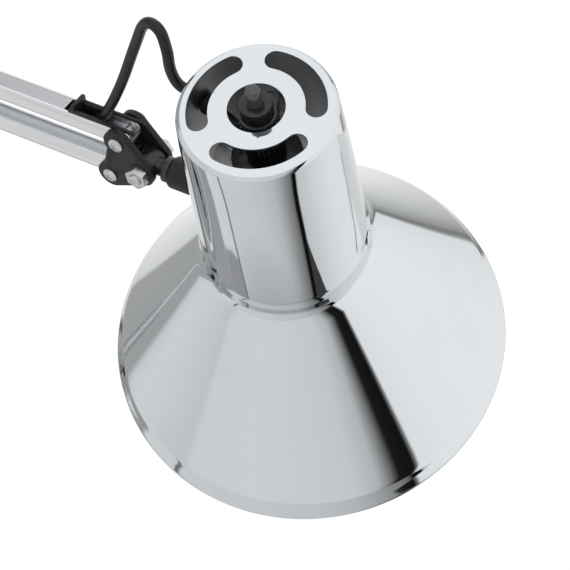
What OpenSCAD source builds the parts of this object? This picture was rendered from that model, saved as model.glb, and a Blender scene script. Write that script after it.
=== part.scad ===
// Folding desk lamp: weighted round base, two parallel-bar arms, and a bright
// metal head with a slotted cap and a wide cone shade. Millimetres, +Z up,
// origin at the centre of the base's underside, arms in the XZ plane.

/* [Base] */
// Radius of the round base over its cover
base_r = 100; // [85:1:120]
// Height of the base cover at its centre
base_h = 27; // [22:1:34]
// Radius of the cover's rounded edge
base_edge_r = 9; // [5:0.5:12]
// Thickness of the pressed steel cover
cover_t = 1.2; // [0.8:0.1:2]
// Thickness of the rubber pad under the base
pad_t = 3; // [2:0.5:5]
// Height of the cast weight
weight_h = 20; // [14:0.5:21]
// Height of the socket tube above the cover
socket_h = 34; // [25:1:50]
// Wall of the socket tube
socket_wall = 2.5; // [2:0.25:4]
// Radius of the socket's bolted flange
flange_r = 24; // [21:0.5:30]
// Thickness of the socket's flange
flange_t = 2.5; // [2:0.25:4]

/* [Swivel] */
// Outer radius of the hollow swivel pin
pin_r = 6.35; // [6:0.05:7]
// Bore radius of the hollow swivel pin
pin_bore_r = 3.6; // [3:0.1:4.2]
// Wall of the plastic bush round the pin
bush_wall = 1.8; // [1.2:0.1:2.5]
// Radius of the yoke's round foot
foot_r = 15; // [13.5:0.5:18]
// Thickness of the yoke's round foot
foot_t = 4; // [3:0.5:6]
// Height of the lower arm's pivot above the yoke's foot
yoke_h = 34; // [30:1:44]
// Forward offset of the lower arm's pivot from the swivel axis
yoke_x = 8; // [6:0.5:12]

/* [Arms] */
// Pivot to pivot length of each arm
arm_len = 380; // [330:5:440]
// Width of a bar
bar_w = 10; // [9:0.5:12]
// Height of a bar
bar_h = 10; // [9:0.5:11]
// Wall of a bar
bar_t = 1; // [0.8:0.1:1.4]
// Radius of a bar's lower corners
bar_corner_r = 2; // [1:0.25:2.5]
// Lean of the lower arm back from the vertical, in degrees
lower_lean = 10; // [0:1:14]
// Rise of the upper arm above the horizontal, in degrees
upper_rise = 0; // [-6:1:8]
// Length of a bar past its pivot
bar_end = 5; // [4:0.25:5.5]

/* [Brackets] */
// Thickness of a bracket plate
plate_t = 3.2; // [2.5:0.1:4]
// Gap between a bar and a bracket plate
plate_gap = 0.8; // [0.6:0.1:1.2]
// Radius of a plate's lobe round a screw
lobe_r = 7.2; // [6.5:0.1:8]
// Radius of the pivot screws
screw_r = 2; // [1.75:0.05:2.25]
// Radius of a pivot screw's head
screw_head_r = 3.7; // [3.3:0.1:4]
// Height of a pivot screw's head
screw_head_h = 2.4; // [1.8:0.1:3]
// Width across the flats of a pivot screw's nut
nut_af = 7; // [6.5:0.5:8]
// Thickness of a pivot screw's nut
nut_t = 3.2; // [2.4:0.1:4]
// Radius of the tilt bolt
bolt_r = 3; // [2.5:0.1:3.2]
// Width across the flats of the tilt bolt's nut and head
bolt_af = 10; // [9:0.5:11]

/* [Springs] */
// Outer radius of a balance spring
spring_r = 4.5; // [4:0.25:5]
// Radius of the spring's wire
wire_r = 0.7; // [0.5:0.05:0.8]
// Distance from a spring's lower anchor to its upper anchor, along the arm
spring_span = 150; // [130:2:180]
// Length of a spring's coiled body
spring_coil_len = 76; // [64:2:90]
// Number of curls in a spring
spring_curls = 16; // [12:1:18]
// Distance of a spring's axis from the arm's middle plane
spring_y = 16.5; // [16:0.25:19]
// Radius of the anchor pins
anchor_r = 1.5; // [1.25:0.05:1.6]

/* [Neck] */
// Distance from the tilt bolt to the head's axis
neck_len = 70.4; // [66:0.2:76]
// Radius of the black neck sleeve
neck_r = 8; // [7:0.25:9]
// Radius of the knuckle's round lug
knuckle_r = 6.2; // [5.5:0.1:6.6]
// Swivel of the head about its neck, in degrees
head_swivel = 14.5; // [0:0.5:25]

/* [Head] */
// Radius of the housing at its cap
cap_r = 33; // [30:0.5:37]
// Radius of the housing where it meets the shade
waist_r = 41; // [38:0.5:45]
// Length of the housing
housing_len = 105; // [95:1:115]
// Depth of the neck in the housing, up from its waist
neck_depth = 23; // [17:1:29]
// Radius of the cap's rounded edge
cap_edge_r = 3; // [2:0.25:4]
// Wall of the housing and the shade
sheet_t = 0.8; // [0.6:0.1:1.2]
// Radius of the cap's centre hole
cap_hole_r = 11.8; // [10.5:0.1:12.6]
// Radius of the line along the middle of the cap's slots
slot_mid_r = 24; // [22:0.25:25]
// Width of the cap's slots
slot_w = 8.8; // [7:0.2:9.4]
// Half of each slot's angle, to the middle of its round ends
slot_half_angle = 38.5; // [30:0.5:42]
// Radius of the shade at its rim
rim_r = 109; // [100:0.5:118]
// Height of the whole head, cap to rim
head_len = 212; // [200:1:225]
// Height of the upright band at the shade's rim
lip_h = 8; // [5:0.5:12]
// Radius of the bend between the cone and the rim band
shoulder_r = 12; // [8:0.5:16]

/* [Lamp] */
// Radius of the lampholder
holder_r = 20; // [18:0.5:22]
// Length of the lampholder
holder_len = 52; // [46:1:58]
// Depth of the lampholder's top below the cap
holder_depth = 34; // [30:0.5:38]
// Radius of the bulb's globe
bulb_r = 30; // [26:0.5:32]
// Length of the bulb's glass
bulb_len = 82; // [76:1:88]
// Radius of the switch's stem
stem_r = 3.1; // [2.5:0.1:3.5]
// Height of the stem above the cap
stem_rise = 12; // [9:0.5:14]
// Radius of the switch's collar
collar_r = 6.7; // [6:0.1:7.5]
// Height of the collar above the cap
collar_rise = 3; // [1:0.5:5]

/* [Cord] */
// Radius of the flex
cord_r = 2.5; // [2.2:0.1:2.8]
// Turns in each layer of the stored coil
coil_turns = 4; // [2:1:5]
// Inner radius of the stored coil
coil_in_r = 17; // [15:0.5:22]
// Length of the strain relief outside the base
relief_len = 22; // [20:1:40]
// Width of the plug
plug_w = 33; // [30:1:37]
// Length of the plug's body
plug_len = 34; // [30:1:40]
// Length of the plug's pins
plug_pin_len = 19; // [17:0.5:20]

/* [Hidden] */
$fn = 64;
fit = 0.05;        // radial clearance of a pin in its bore
face_gap = 0.15;   // clearance between faces that slide on each other
seat_gap = 0.05;   // clearance where one fixed piece sits in another
eps = 0.5;         // overrun of a cut past the face that it opens

black = [0.07, 0.07, 0.08];
bright = [0.82, 0.83, 0.85];
zinc = [0.72, 0.74, 0.74];
silver = [0.72, 0.73, 0.75];

// bracket planes, measured from the arms' middle plane
plate_in = bar_w / 2 + plate_gap;
plate_out = plate_in + plate_t;

// heights up the base
cover_top = base_h;
socket_bore_r = pin_r + fit + bush_wall + seat_gap;
socket_r = socket_bore_r + socket_wall;
socket_top = cover_top + socket_h;
bush_lip_t = 1.5;
foot_z = socket_top + bush_lip_t + face_gap;
foot_top = foot_z + foot_t;
weight_r = base_r - cover_t - 1;
clip_z = cover_top - cover_t - 7;
clip_t = 1.2;
pin_low = clip_z - 3;
bush_low = clip_z + clip_t + face_gap;
groove_w = 2 * cord_r + 1.5;
groove_z = pad_t + cord_r + 0.75;
relief_end_x = -base_r - relief_len;

// steps between the linkage's pivots, as [x, z]
lower_pair = [21.6, 6];             // the lower bars' feet, main to second
upper_pair = [-6, -22];             // the upper bars' feet, main to second
elbow_step = [34, 52];              // the elbow, lower main bar to upper main bar
tilt_step = [11.5, -14];            // the head bracket, upper main bar to tilt bolt
lower_anchor_step = [-22, -2];      // the lower main bar's foot to its springs' anchor
upper_anchor_step = [-4, 16];       // the upper main bar's foot to its springs' anchor

// pivots of the linkage, as points in the XZ plane
lower_angle = 90 + lower_lean;
lower_main_foot = [yoke_x, foot_top + yoke_h];
lower_aux_foot = lower_main_foot + lower_pair;
lower_dir = [cos(lower_angle), sin(lower_angle)];
elbow_main = lower_main_foot + arm_len * lower_dir;
elbow_aux = lower_aux_foot + arm_len * lower_dir;
upper_main_foot = elbow_main + elbow_step;
upper_aux_foot = upper_main_foot + upper_pair;
upper_dir = [cos(upper_rise), sin(upper_rise)];
head_main = upper_main_foot + arm_len * upper_dir;
head_aux = upper_aux_foot + arm_len * upper_dir;
tilt_pivot = head_main + tilt_step;
lower_anchor_at = lower_main_foot + lower_anchor_step;
upper_anchor_at = upper_main_foot + upper_anchor_step;
// the flex lies on a main bar's floor, with the spring's cross pin just over it
cord_in_bar_z = -bar_h / 2 + bar_t + cord_r;
spring_pin_z = cord_in_bar_z + cord_r + 0.25 + anchor_r;

guide_far = 25;    // distance from a pivot where a loose loop of flex begins

// the head's own frame: origin on its axis at the height of the neck
neck_at = [tilt_pivot[0] + neck_len, 0, tilt_pivot[1]];
waist_z = -neck_depth;
cap_z = waist_z + housing_len;
rim_z = cap_z - head_len;
housing_slope = (waist_r - cap_r) / housing_len;
function housing_r_at(z) = cap_r + (cap_z - z) * housing_slope;

grommet_angle = 165;
grommet_z = cap_z - 25;
grommet_wall_r = housing_r_at(grommet_z);
grommet_r = 4.6;
function head_to_world(p) = neck_at + [p[0], p[1] * cos(head_swivel) - p[2] * sin(head_swivel),
    p[1] * sin(head_swivel) + p[2] * cos(head_swivel)];
grommet_face = 4;  // the grommet's outer face, from the wall
function grommet_at(r) = head_to_world([r * cos(grommet_angle), r * sin(grommet_angle), grommet_z]);
grommet_out = grommet_at(grommet_wall_r + grommet_face);
grommet_inward = grommet_at(0) - grommet_at(1);

// ---------------------------------------------------------------- helpers

// 2D bar with round ends from a to b; its sides lie `inset` inside the ends' circles and so cross them
module capsule2d(a, b, r, inset = 0.03) {
    d = b - a;
    half = r - inset;
    translate(a) circle(r);
    translate(b) circle(r);
    translate(a) rotate(atan2(d[1], d[0])) translate([0, -half]) square([norm(d), 2 * half]);
}

// 2D plate with round lobes on pts; waist is the half-width of its edges
module web2d(pts, r, waists) {
    polygon(pts);
    for (i = [0 : len(pts) - 1]) {
        translate(pts[i]) circle(r);
        capsule2d(pts[i], pts[(i + 1) % len(pts)], waists[i]);
    }
}

// puts a drawing of the XZ plane upright, spanning y0 to y1
module upright(y0, y1) {
    translate([0, y1, 0]) rotate([90, 0, 0]) linear_extrude(y1 - y0) children();
}

// cylinder along Z from z0 to z1
module cylinder_between(z0, z1, r) {
    translate([0, 0, z0]) cylinder(h = z1 - z0, r = r);
}

// cylinder along Y at p
module cross_pin(p, r, y0, y1) {
    upright(y0, y1) translate(p) circle(r);
}

// places children at pivot p with +X along the arm and +Z across it
module on_arm(p, angle) {
    translate([p[0], 0, p[1]]) rotate([0, -angle, 0]) children();
}

// pan head screw along +Y with its head on the near side at -plate_out
module pan_screw(p, len) {
    difference() {
        union() {
            cross_pin(p, screw_r, -plate_out, -plate_out + len);
            translate([p[0], -plate_out, p[1]]) rotate([90, 0, 0])
                rotate_extrude() intersection() {
                    translate([0, screw_head_h - screw_head_r * 1.6]) circle(screw_head_r * 1.6);
                    square([screw_head_r, screw_head_h]);
                }
        }
        for (turn = [25, 115])
            translate([p[0], -plate_out - screw_head_h, p[1]]) rotate([0, turn, 0])
                cube([0.9, 2.2, 3.6], center = true);
    }
}

// hex nut on the far side, bored for its screw
module far_nut(p, af, t, r) {
    translate([p[0], plate_out + t, p[1]]) rotate([90, 0, 0]) difference() {
        cylinder(h = t, r = af / sqrt(3), $fn = 6);
        translate([0, 0, -eps]) cylinder(h = t + 2 * eps, r = r + seat_gap);
    }
}

// ------------------------------------------------------------ swept tubes

function unit(v) = v / norm(v);

// one point of a smooth curve through b and c
function curve_point(a, b, c, d, t) =
    0.5 * (2 * b + (c - a) * t + (2 * a - 5 * b + 4 * c - d) * t * t + (3 * b - 3 * c + d - a) * t * t * t);

// the route's own points with n steps between each pair
function smooth(p, n) = let (last = len(p) - 1)
    [for (i = [0 : last - 1], s = [0 : n - 1])
        curve_point(p[max(i - 1, 0)], p[i], p[i + 1], p[min(i + 2, last)], s / n), p[last]];

function tangent(p, i) = unit(p[min(i + 1, len(p) - 1)] - p[max(i - 1, 0)]);

// tube of radius r along p; side is a direction that the path never follows
module tube(p, r, sides, side, first = undef, last = undef) {
    rings = len(p);
    dirs = [for (i = [0 : rings - 1]) i == 0 && !is_undef(first) ? first
        : i == rings - 1 && !is_undef(last) ? last : tangent(p, i)];
    points = [for (i = [0 : rings - 1]) let (t = dirs[i], u = unit(cross(t, side)), v = cross(t, u))
        for (k = [0 : sides - 1]) p[i] + r * (cos(360 * k / sides) * u + sin(360 * k / sides) * v)];
    start = [[for (k = [0 : sides - 1]) k]];
    stop = [[for (k = [sides - 1 : -1 : 0]) (rings - 1) * sides + k]];
    wall = [for (i = [0 : rings - 2], k = [0 : sides - 1])
        let (a = i * sides + k, b = i * sides + (k + 1) % sides)
        for (f = [[a, a + sides, b], [b, a + sides, b + sides]]) f];
    polyhedron(points, concat(start, wall, stop), convexity = 10);
}

// flex along a route from step a to step b, a hair short of its neighbours at both ends
module cord_piece(path, a, b, first = undef, last = undef) {
    lead = is_undef(first) ? tangent(path, a) : first;
    tail = is_undef(last) ? tangent(path, b) : last;
    stretch = [for (i = [a : b]) path[i]
        + (i == a ? seat_gap * lead : i == b ? -seat_gap * tail : [0, 0, 0])];
    color(black) tube(stretch, cord_r, 8, [0, 1, 0], lead, tail);
}

// least gap of a tube to itself, between points at least `apart` steps from each other
function self_gap(p, r, apart) =
    min([for (i = [0 : len(p) - 1 - apart], j = [i + apart : len(p) - 1]) norm(p[i] - p[j])]) - 2 * r;

// ------------------------------------------------------------------- base

module base_pad() {
    color([0.05, 0.05, 0.05]) cylinder(h = pad_t, r = weight_r - 2, $fn = 96);
}

module base_weight() {
    boss_top = cover_top - cover_t;
    color([0.25, 0.25, 0.26]) difference() {
        union() {
            translate([0, 0, pad_t]) cylinder(h = weight_h, r = weight_r - base_edge_r / 3, $fn = 96);
            cylinder_between(pad_t, boss_top, flange_r + 2);
        }
        translate([0, 0, pad_t - eps]) cylinder(h = base_h, r = hub_r);
        for (a = screw_angles) rotate(a) translate([screw_ring_r, 0, 0])
            cylinder_between(cover_top - socket_screw_len - 1, cover_top, socket_screw_r + seat_gap);
        translate([-base_r, -groove_w / 2, pad_t - eps]) cube([base_r, groove_w, groove_w + eps]);
    }
}

module cover_profile(grow) {
    r = base_r - grow;
    e = base_edge_r - grow;
    h = base_h - grow;
    translate([0, pad_t - 1]) square([r, h - e - pad_t + 1]);
    square_top = h - e;
    translate([0, square_top]) square([r - e, e]);
    translate([r - e, square_top]) circle(e);
}

module base_cover() {
    color(bright) difference() {
        rotate_extrude($fn = 128) difference() {
            intersection() {
                cover_profile(0);
                translate([0, pad_t - 1]) square([base_r + 1, base_h]);
            }
            intersection() {
                cover_profile(cover_t);
                translate([0, pad_t - 2]) square([base_r + 1, base_h]);
            }
        }
        translate([0, 0, base_h - 5]) cylinder(h = 10, r = socket_r + seat_gap);
        for (a = screw_angles) rotate(a) translate([screw_ring_r, 0, base_h - 5])
            cylinder(h = 10, r = socket_screw_r + seat_gap);
        translate([-base_r - 1, 0, groove_z]) rotate([0, 90, 0]) cylinder(h = 12, r = relief_r + seat_gap);
    }
}

screw_angles = [60, 180, 300];
hub_r = socket_r + 0.5;    // radius of the space round the pin's lower end, in the weight
screw_ring_r = (socket_r + flange_r) / 2 + 0.5;
socket_screw_r = 2;
socket_screw_len = 8;
relief_r = cord_r + 1.6;

// flanged tube that carries the swivel bush
module post_socket() {
    color(black) difference() {
        rotate_extrude() {
            translate([socket_bore_r, bush_low]) square([socket_wall, socket_top - bush_low]);
            translate([socket_bore_r, cover_top]) square([flange_r - socket_bore_r - 1, flange_t]);
            translate([socket_bore_r, cover_top]) square([flange_r - socket_bore_r, flange_t - 1]);
            translate([flange_r - 1, cover_top + flange_t - 1]) circle(1);
        }
        for (a = screw_angles) rotate(a) translate([screw_ring_r, 0, cover_top - eps])
            cylinder(h = flange_t + 2 * eps, r = socket_screw_r + seat_gap);
    }
}

module socket_screws() {
    color(zinc) for (a = screw_angles) rotate(a) translate([screw_ring_r, 0, 0]) difference() {
        union() {
            cylinder_between(cover_top - socket_screw_len, cover_top + flange_t, socket_screw_r);
            translate([0, 0, cover_top + flange_t]) cylinder(h = 1.6, r = 3.2);
        }
        for (turn = [0, 90]) translate([0, 0, cover_top + flange_t + 1.6]) rotate(turn)
            cube([0.8, 3.4, 1.6], center = true);
    }
}

module post_bush() {
    color([0.85, 0.84, 0.8]) rotate_extrude() {
        translate([pin_r + fit, bush_low]) square([bush_wall, socket_top - bush_low]);
        translate([pin_r + fit, socket_top]) square([socket_r - pin_r - fit, bush_lip_t]);
    }
}

// tapered sleeve with flexing ribs, held in the cover's rear wall by two flanges
module strain_relief() {
    tip_r = cord_r + 0.9;
    flange = relief_r + 1.4;
    flange_w = 1.6;
    inner_x = relief_len + cover_t + 0.3;
    color(black) translate([relief_end_x, 0, groove_z]) rotate([0, 90, 0]) rotate_extrude($fn = 32)
        difference() {
            union() {
                polygon([[0, 0], [tip_r, 0], [relief_r, relief_len - 2], [relief_r, inner_x], [0, inner_x]]);
                for (x = [3 : 5.5 : relief_len - 6]) translate([0, x]) square([relief_r, 2]);
                translate([0, relief_len - flange_w - 0.1]) square([flange, flange_w]);
                translate([0, inner_x]) square([flange, flange_w]);
            }
            translate([0, -eps]) square([cord_r, relief_len + 10]);
        }
}

// flex from the strain relief along the weight's groove and up the hollow pin
module base_cord() {
    bend = 9;
    color(black) {
        translate([relief_end_x, 0, groove_z]) rotate([0, 90, 0])
            cylinder(h = -relief_end_x - bend, r = cord_r, $fn = 32);
        translate([-bend, 0, groove_z + bend]) rotate([90, 0, 0]) rotate_extrude(angle = -90, $fn = 32)
            translate([bend, 0]) circle(cord_r);
        translate([0, 0, groove_z + bend]) cylinder(h = foot_top - groove_z - bend, r = cord_r, $fn = 32);
    }
}

// ---------------------------------------------------- mains lead and plug

coil_pitch = 2 * cord_r + 0.6;
coil_out_r = coil_in_r + coil_turns * coil_pitch;
coil_away = 60;    // from the strain relief's end to the coil's centre
coil_at = [relief_end_x - coil_away, coil_out_r];
plug_away = 28;    // the flex runs this far past the coil's centre before the plug
coil_top_z = cord_r + coil_pitch;
coil_steps = 24;

// route of the lead on the desk, from the strain relief to the coil
lead_route = [[relief_end_x, 0, groove_z], [relief_end_x - 6, 0, groove_z], [relief_end_x - 16, 0, 4],
    [relief_end_x - 28, 0, cord_r], [coil_at[0] + 2 * cord_r, 0, cord_r]];

module mains_lead() {
    path = smooth(lead_route, 2);
    cord_piece(path, 0, len(path) - 1, [-1, 0, 0], [-1, 0, 0]);
}

// radius and height of the coil after so many turns: in, up half a turn, and out again
quarter_turn = 0.25;
half_turn = 0.5;
coil_total = 2 * coil_turns + quarter_turn;
climb_from = (coil_total - half_turn) / 2;
function coil_radius(turn) = coil_out_r - min(turn, coil_total - turn) * coil_pitch;
function coil_rise(turn) = coil_pitch * min(1, max(0, (turn - climb_from) / half_turn));
coil_path = concat(
    [[coil_at[0] + 2 * cord_r, 0, cord_r]],
    [for (i = [0 : coil_total * coil_steps])
        let (turn = i / coil_steps, a = -90 - 360 * turn, r = coil_radius(turn))
        [coil_at[0] + r * cos(a), coil_at[1] + r * sin(a), cord_r + coil_rise(turn)]],
    [[coil_at[0] - coil_out_r, coil_at[1] + plug_away / 2, coil_top_z],
    [coil_at[0] - coil_out_r, coil_at[1] + plug_away, coil_top_z]]);
echo(str("least gap of lead_coil to itself: ", self_gap(coil_path, cord_r, coil_steps / 2), " mm"));

module lead_coil() {
    color(black) tube(coil_path, cord_r, 6, [0, 0, 1], [-1, 0, 0], [0, 1, 0]);
}

// band round the coil's turns, on the side away from the lamp
module coil_tie() {
    tie_t = 1;
    tie_w = 7;
    in_r = coil_in_r - coil_pitch / 4 - cord_r - 0.8;
    out_r = coil_out_r + cord_r + 0.8;
    top = coil_top_z + cord_r + 0.6;
    color([0.03, 0.03, 0.03]) translate([coil_at[0], coil_at[1], 0]) rotate(180) difference() {
        translate([in_r - tie_t, -tie_w / 2, 0]) cube([out_r - in_r + 2 * tie_t, tie_w, top + tie_t]);
        translate([in_r, -tie_w, -eps]) cube([out_r - in_r, 2 * tie_w, top + eps]);
    }
}

plug_at = [coil_at[0] - coil_out_r, coil_at[1] + plug_away + seat_gap, coil_top_z];
plug_tail = 12;

module plug_body() {
    t = 2 * coil_top_z;
    color(black) translate(plug_at) rotate([0, 0, 90]) {
        rotate([0, 90, 0]) rotate_extrude($fn = 32)
            polygon([[0, 0], [cord_r + 1, 0], [cord_r + 3, plug_tail + 1], [0, plug_tail + 1]]);
        translate([plug_tail, 0, 0]) difference() {
            translate([0, 0, -coil_top_z]) linear_extrude(t) {
                translate([6, -plug_w / 2]) square([plug_len - 6, plug_w]);
                for (s = [-1, 1]) translate([6, s * (plug_w / 2 - 6)]) circle(6);
                translate([0, -plug_w / 2 + 6]) square([8, plug_w - 12]);
            }
            for (s = [-1, 1]) translate([plug_len - 14, s * plug_w / 2, 0]) rotate([0, 0, s * 8])
                translate([0, s * 3.2, 0]) cube([18, 6, t + 1], center = true);
        }
    }
}

plug_pin_pitch = 18.6;

module plug_pins() {
    color([0.83, 0.7, 0.4]) translate(plug_at) rotate([0, 0, 90]) for (s = [-1, 1])
        translate([plug_tail + plug_len, s * plug_pin_pitch / 2, 0])
            rotate([0, 90, 0]) {
                cylinder(h = plug_pin_len - 2, r = 2, $fn = 32);
                translate([0, 0, plug_pin_len - 2]) sphere(2, $fn = 32);
            }
}

// ----------------------------------------------------------------- turret

module swivel_pin() {
    color(zinc) difference() {
        translate([0, 0, pin_low]) cylinder(h = foot_z - pin_low, r = pin_r);
        translate([0, 0, pin_low - eps]) cylinder(h = foot_z - pin_low + 2 * eps, r = pin_bore_r);
        translate([0, 0, clip_z]) difference() {
            cylinder(h = clip_t, r = pin_r + 1);
            translate([0, 0, -eps]) cylinder(h = clip_t + 2 * eps, r = pin_r - 0.8);
        }
    }
}

// open ring that stops the pin from lifting out of its bush
module pin_clip() {
    color(zinc) translate([0, 0, clip_z + seat_gap]) linear_extrude(clip_t - 2 * seat_gap) difference() {
        circle(pin_r + 2.4);
        circle(pin_r - 0.75);
        translate([0, -2]) square([pin_r + 4, 4]);
    }
}

module cheek2d() {
    base_l = [-foot_r + 1, foot_top - 1];
    base_r2 = [foot_r - 1, foot_top - 1];
    polygon([base_l, base_r2, lower_aux_foot, lower_main_foot, lower_anchor_at]);
    capsule2d(lower_main_foot, lower_aux_foot, lobe_r);
    capsule2d(lower_main_foot, lower_anchor_at, 5);
    capsule2d([base_l[0] + 4, foot_top + 3], lower_anchor_at, 4);
    capsule2d([base_r2[0] - 6, foot_top + 5], lower_aux_foot, 6);
}

// pressed yoke: a round foot with two cheeks that hold the lower arm's pivots
module turret_yoke() {
    color(black) difference() {
        union() {
            translate([0, 0, foot_z]) cylinder(h = foot_t, r = foot_r);
            for (s = [-1, 1])
                upright(s < 0 ? -plate_out : plate_in, s < 0 ? -plate_in : plate_out) intersection() {
                    cheek2d();
                    translate([-base_r, foot_top - 1]) square(2 * base_r);
                }
            for (p = [lower_main_foot, lower_aux_foot], s = [-1, 1])
                cross_pin(p, 4.2, s < 0 ? -plate_in - eps : bar_w / 2 + face_gap,
                    s < 0 ? -bar_w / 2 - face_gap : plate_in + eps);
        }
        translate([0, 0, foot_z - eps]) cylinder(h = foot_t + 2 * eps, r = pin_bore_r);
        for (p = [lower_main_foot, lower_aux_foot]) cross_pin(p, screw_r + seat_gap, -20, 20);
        cross_pin(lower_anchor_at, anchor_r + seat_gap, -20, 20);
    }
}

screw_len = 2 * plate_out + nut_t + 1;

// pivot screw with its nut
module screw_and_nut(p) {
    pan_screw(p, screw_len);
    far_nut(p, nut_af, nut_t, screw_r);
}

module turret_screws() {
    color(zinc) for (p = [lower_main_foot, lower_aux_foot]) screw_and_nut(p);
}

// cross pin with an eye at each end for a spring's wire
module anchor(p, angle, half) {
    eye_r = anchor_r + 1.2;
    cross_pin(p, anchor_r, -half, half);
    for (s = [-1, 1]) {
        cross_pin(p, eye_r, s * spring_y - 2, s * spring_y + 2);
        on_arm(p, angle) translate([0, s * spring_y, 0]) rotate([0, 90, 0])
            cylinder(h = eye_r + 1.5, r = 1.6);
    }
}

eye_reach = anchor_r + 1.2 + 1.5;
anchor_half = spring_y + 3;

// the pin through a main bar, in world coordinates
function bar_pin(foot, dir) = foot + spring_span * dir + spring_pin_z * [-dir[1], dir[0]];
lower_pin_at = bar_pin(lower_main_foot, lower_dir);
upper_pin_at = bar_pin(upper_main_foot, upper_dir);
lower_spring_dir = lower_pin_at - lower_anchor_at;
upper_spring_dir = upper_pin_at - upper_anchor_at;
lower_spring_angle = atan2(lower_spring_dir[1], lower_spring_dir[0]);
upper_spring_angle = atan2(upper_spring_dir[1], upper_spring_dir[0]);

module lower_spring_anchor() {
    color(zinc) anchor(lower_anchor_at, lower_spring_angle, anchor_half);
}

module lower_spring_pin() {
    color(zinc) anchor(lower_pin_at, lower_spring_angle + 180, anchor_half);
}

module upper_spring_anchor() {
    color(zinc) anchor(upper_anchor_at, upper_spring_angle, anchor_half);
}

module upper_spring_pin() {
    color(zinc) anchor(upper_pin_at, upper_spring_angle + 180, anchor_half);
}

// ------------------------------------------------------------------- bars

// open channel along +X with round ends and a pivot hole at each end
module channel_bar(length) {
    difference() {
        intersection() {
            translate([-bar_end - 1, 0, 0]) rotate([90, 0, 90]) linear_extrude(length + 2 * bar_end + 2) {
                translate([-bar_w / 2, -bar_h / 2 + bar_corner_r]) square([bar_w, bar_h - bar_corner_r]);
                translate([-bar_w / 2 + bar_corner_r, -bar_h / 2])
                    square([bar_w - 2 * bar_corner_r, bar_h / 2]);
                for (s = [-1, 1]) translate([s * (bar_w / 2 - bar_corner_r), -bar_h / 2 + bar_corner_r])
                    circle(bar_corner_r);
            }
            upright(-bar_w, bar_w) capsule2d([0, 0], [length, 0], bar_end, 0);
        }
        translate([-bar_end - 2, -bar_w / 2 + bar_t, -bar_h / 2 + bar_t])
            cube([length + 2 * bar_end + 4, bar_w - 2 * bar_t, bar_h]);
        for (x = [0, length]) cross_pin([x, 0], screw_r + fit, -bar_w, bar_w);
    }
}

module main_bar() {
    difference() {
        channel_bar(arm_len);
        cross_pin([spring_span, spring_pin_z], anchor_r + seat_gap, -bar_w, bar_w);
    }
}

module lower_main_bar() {
    color(silver) on_arm(lower_main_foot, lower_angle) main_bar();
}

module lower_aux_bar() {
    color(silver) on_arm(lower_aux_foot, lower_angle) mirror([0, 0, 1]) channel_bar(arm_len);
}

module upper_main_bar() {
    color(silver) on_arm(upper_main_foot, upper_rise) main_bar();
}

module upper_aux_bar() {
    color(silver) on_arm(upper_aux_foot, upper_rise) channel_bar(arm_len);
}

// ---------------------------------------------------------------- springs

coil_body_r = spring_r - wire_r;
wire_steps = 8;

// wire of one spring along +X: straight end, curls, straight end
function spring_path(length) = let (
        lead = (length - spring_coil_len) / 2,
        turns = spring_curls,
        n = turns * wire_steps)
    concat(
        [[0, 0, 0], [2 * wire_r, 0, 0], [lead - 3 * wire_r, 0, 0]],
        [for (i = [0 : n])
            let (a = 360 * i / wire_steps, grow = min(1, (i + 2) / wire_steps, (n - i + 2) / wire_steps))
            [lead + spring_coil_len * i / n, coil_body_r * grow * cos(a), coil_body_r * grow * sin(a)]],
        [[length - lead + 3 * wire_r, 0, 0], [length - 2 * wire_r, 0, 0], [length, 0, 0]]);

// one wound wire; its rings turn about the helix's own axis
module wire_tube(p, r, sides) {
    tube(p, r, sides, [0.37, 0.11, 0.92]);
}

lower_wire_len = norm(lower_spring_dir) - 2 * eye_reach;
upper_wire_len = norm(upper_spring_dir) - 2 * eye_reach;
echo(str("least gap of lower_springs to itself: ",
    self_gap(spring_path(lower_wire_len), wire_r, wire_steps / 2 + 1), " mm"));
echo(str("least gap of upper_springs to itself: ",
    self_gap(spring_path(upper_wire_len), wire_r, wire_steps / 2 + 1), " mm"));

module spring_pair(p, angle, length) {
    for (s = [-1, 1]) on_arm(p, angle) translate([eye_reach, s * spring_y, 0])
        wire_tube(spring_path(length), wire_r, 6);
}

module lower_springs() {
    color(zinc) spring_pair(lower_anchor_at, lower_spring_angle, lower_wire_len);
}

module upper_springs() {
    color(zinc) spring_pair(upper_anchor_at, upper_spring_angle, upper_wire_len);
}

// ------------------------------------------------- flex held in the arms

guide_near = 12;   // distance from a pivot where the guide's sides end

// flex along the floor of a channel
module cord_in_bar(x0, x1) {
    color(black) {
        translate([x0, 0, cord_in_bar_z]) rotate([0, 90, 0]) cylinder(h = x1 - x0, r = cord_r, $fn = 32);
    }
}

module lower_cord() {
    on_arm(lower_main_foot, lower_angle) cord_in_bar(guide_far, arm_len - guide_far);
}

module upper_cord() {
    on_arm(upper_main_foot, upper_rise) cord_in_bar(guide_far, arm_len - guide_far);
}

// black insert in a channel's end: two rails on the walls, a block round the flex and a raised bar
module cord_guide() {
    in_w = bar_w - 2 * bar_t - 2 * seat_gap;
    rail_z = bar_h / 2 + seat_gap;
    block_x = guide_far;
    difference() {
        union() {
            for (s = [-1, 1]) {
                translate([-8, s > 0 ? bar_w / 2 - 1.6 : -bar_w / 2, rail_z]) cube([block_x + 12, 1.6, 1.5]);
                translate([guide_near, s > 0 ? in_w / 2 - 1.2 : -in_w / 2, 0])
                    cube([block_x + 4 - guide_near, 1.2, rail_z + 1]);
            }
            translate([block_x, -in_w / 2, 0]) cube([4, in_w, rail_z + 1.5]);
            translate([block_x, -bar_w / 2, rail_z]) cube([2, bar_w, 4.6]);
        }
        translate([0, 0, cord_in_bar_z]) rotate([0, 90, 0])
            cylinder(h = block_x + 20, r = cord_r + seat_gap, $fn = 32);
        cross_pin([0, 0], screw_r + 1, -bar_w, bar_w);
    }
}

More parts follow.
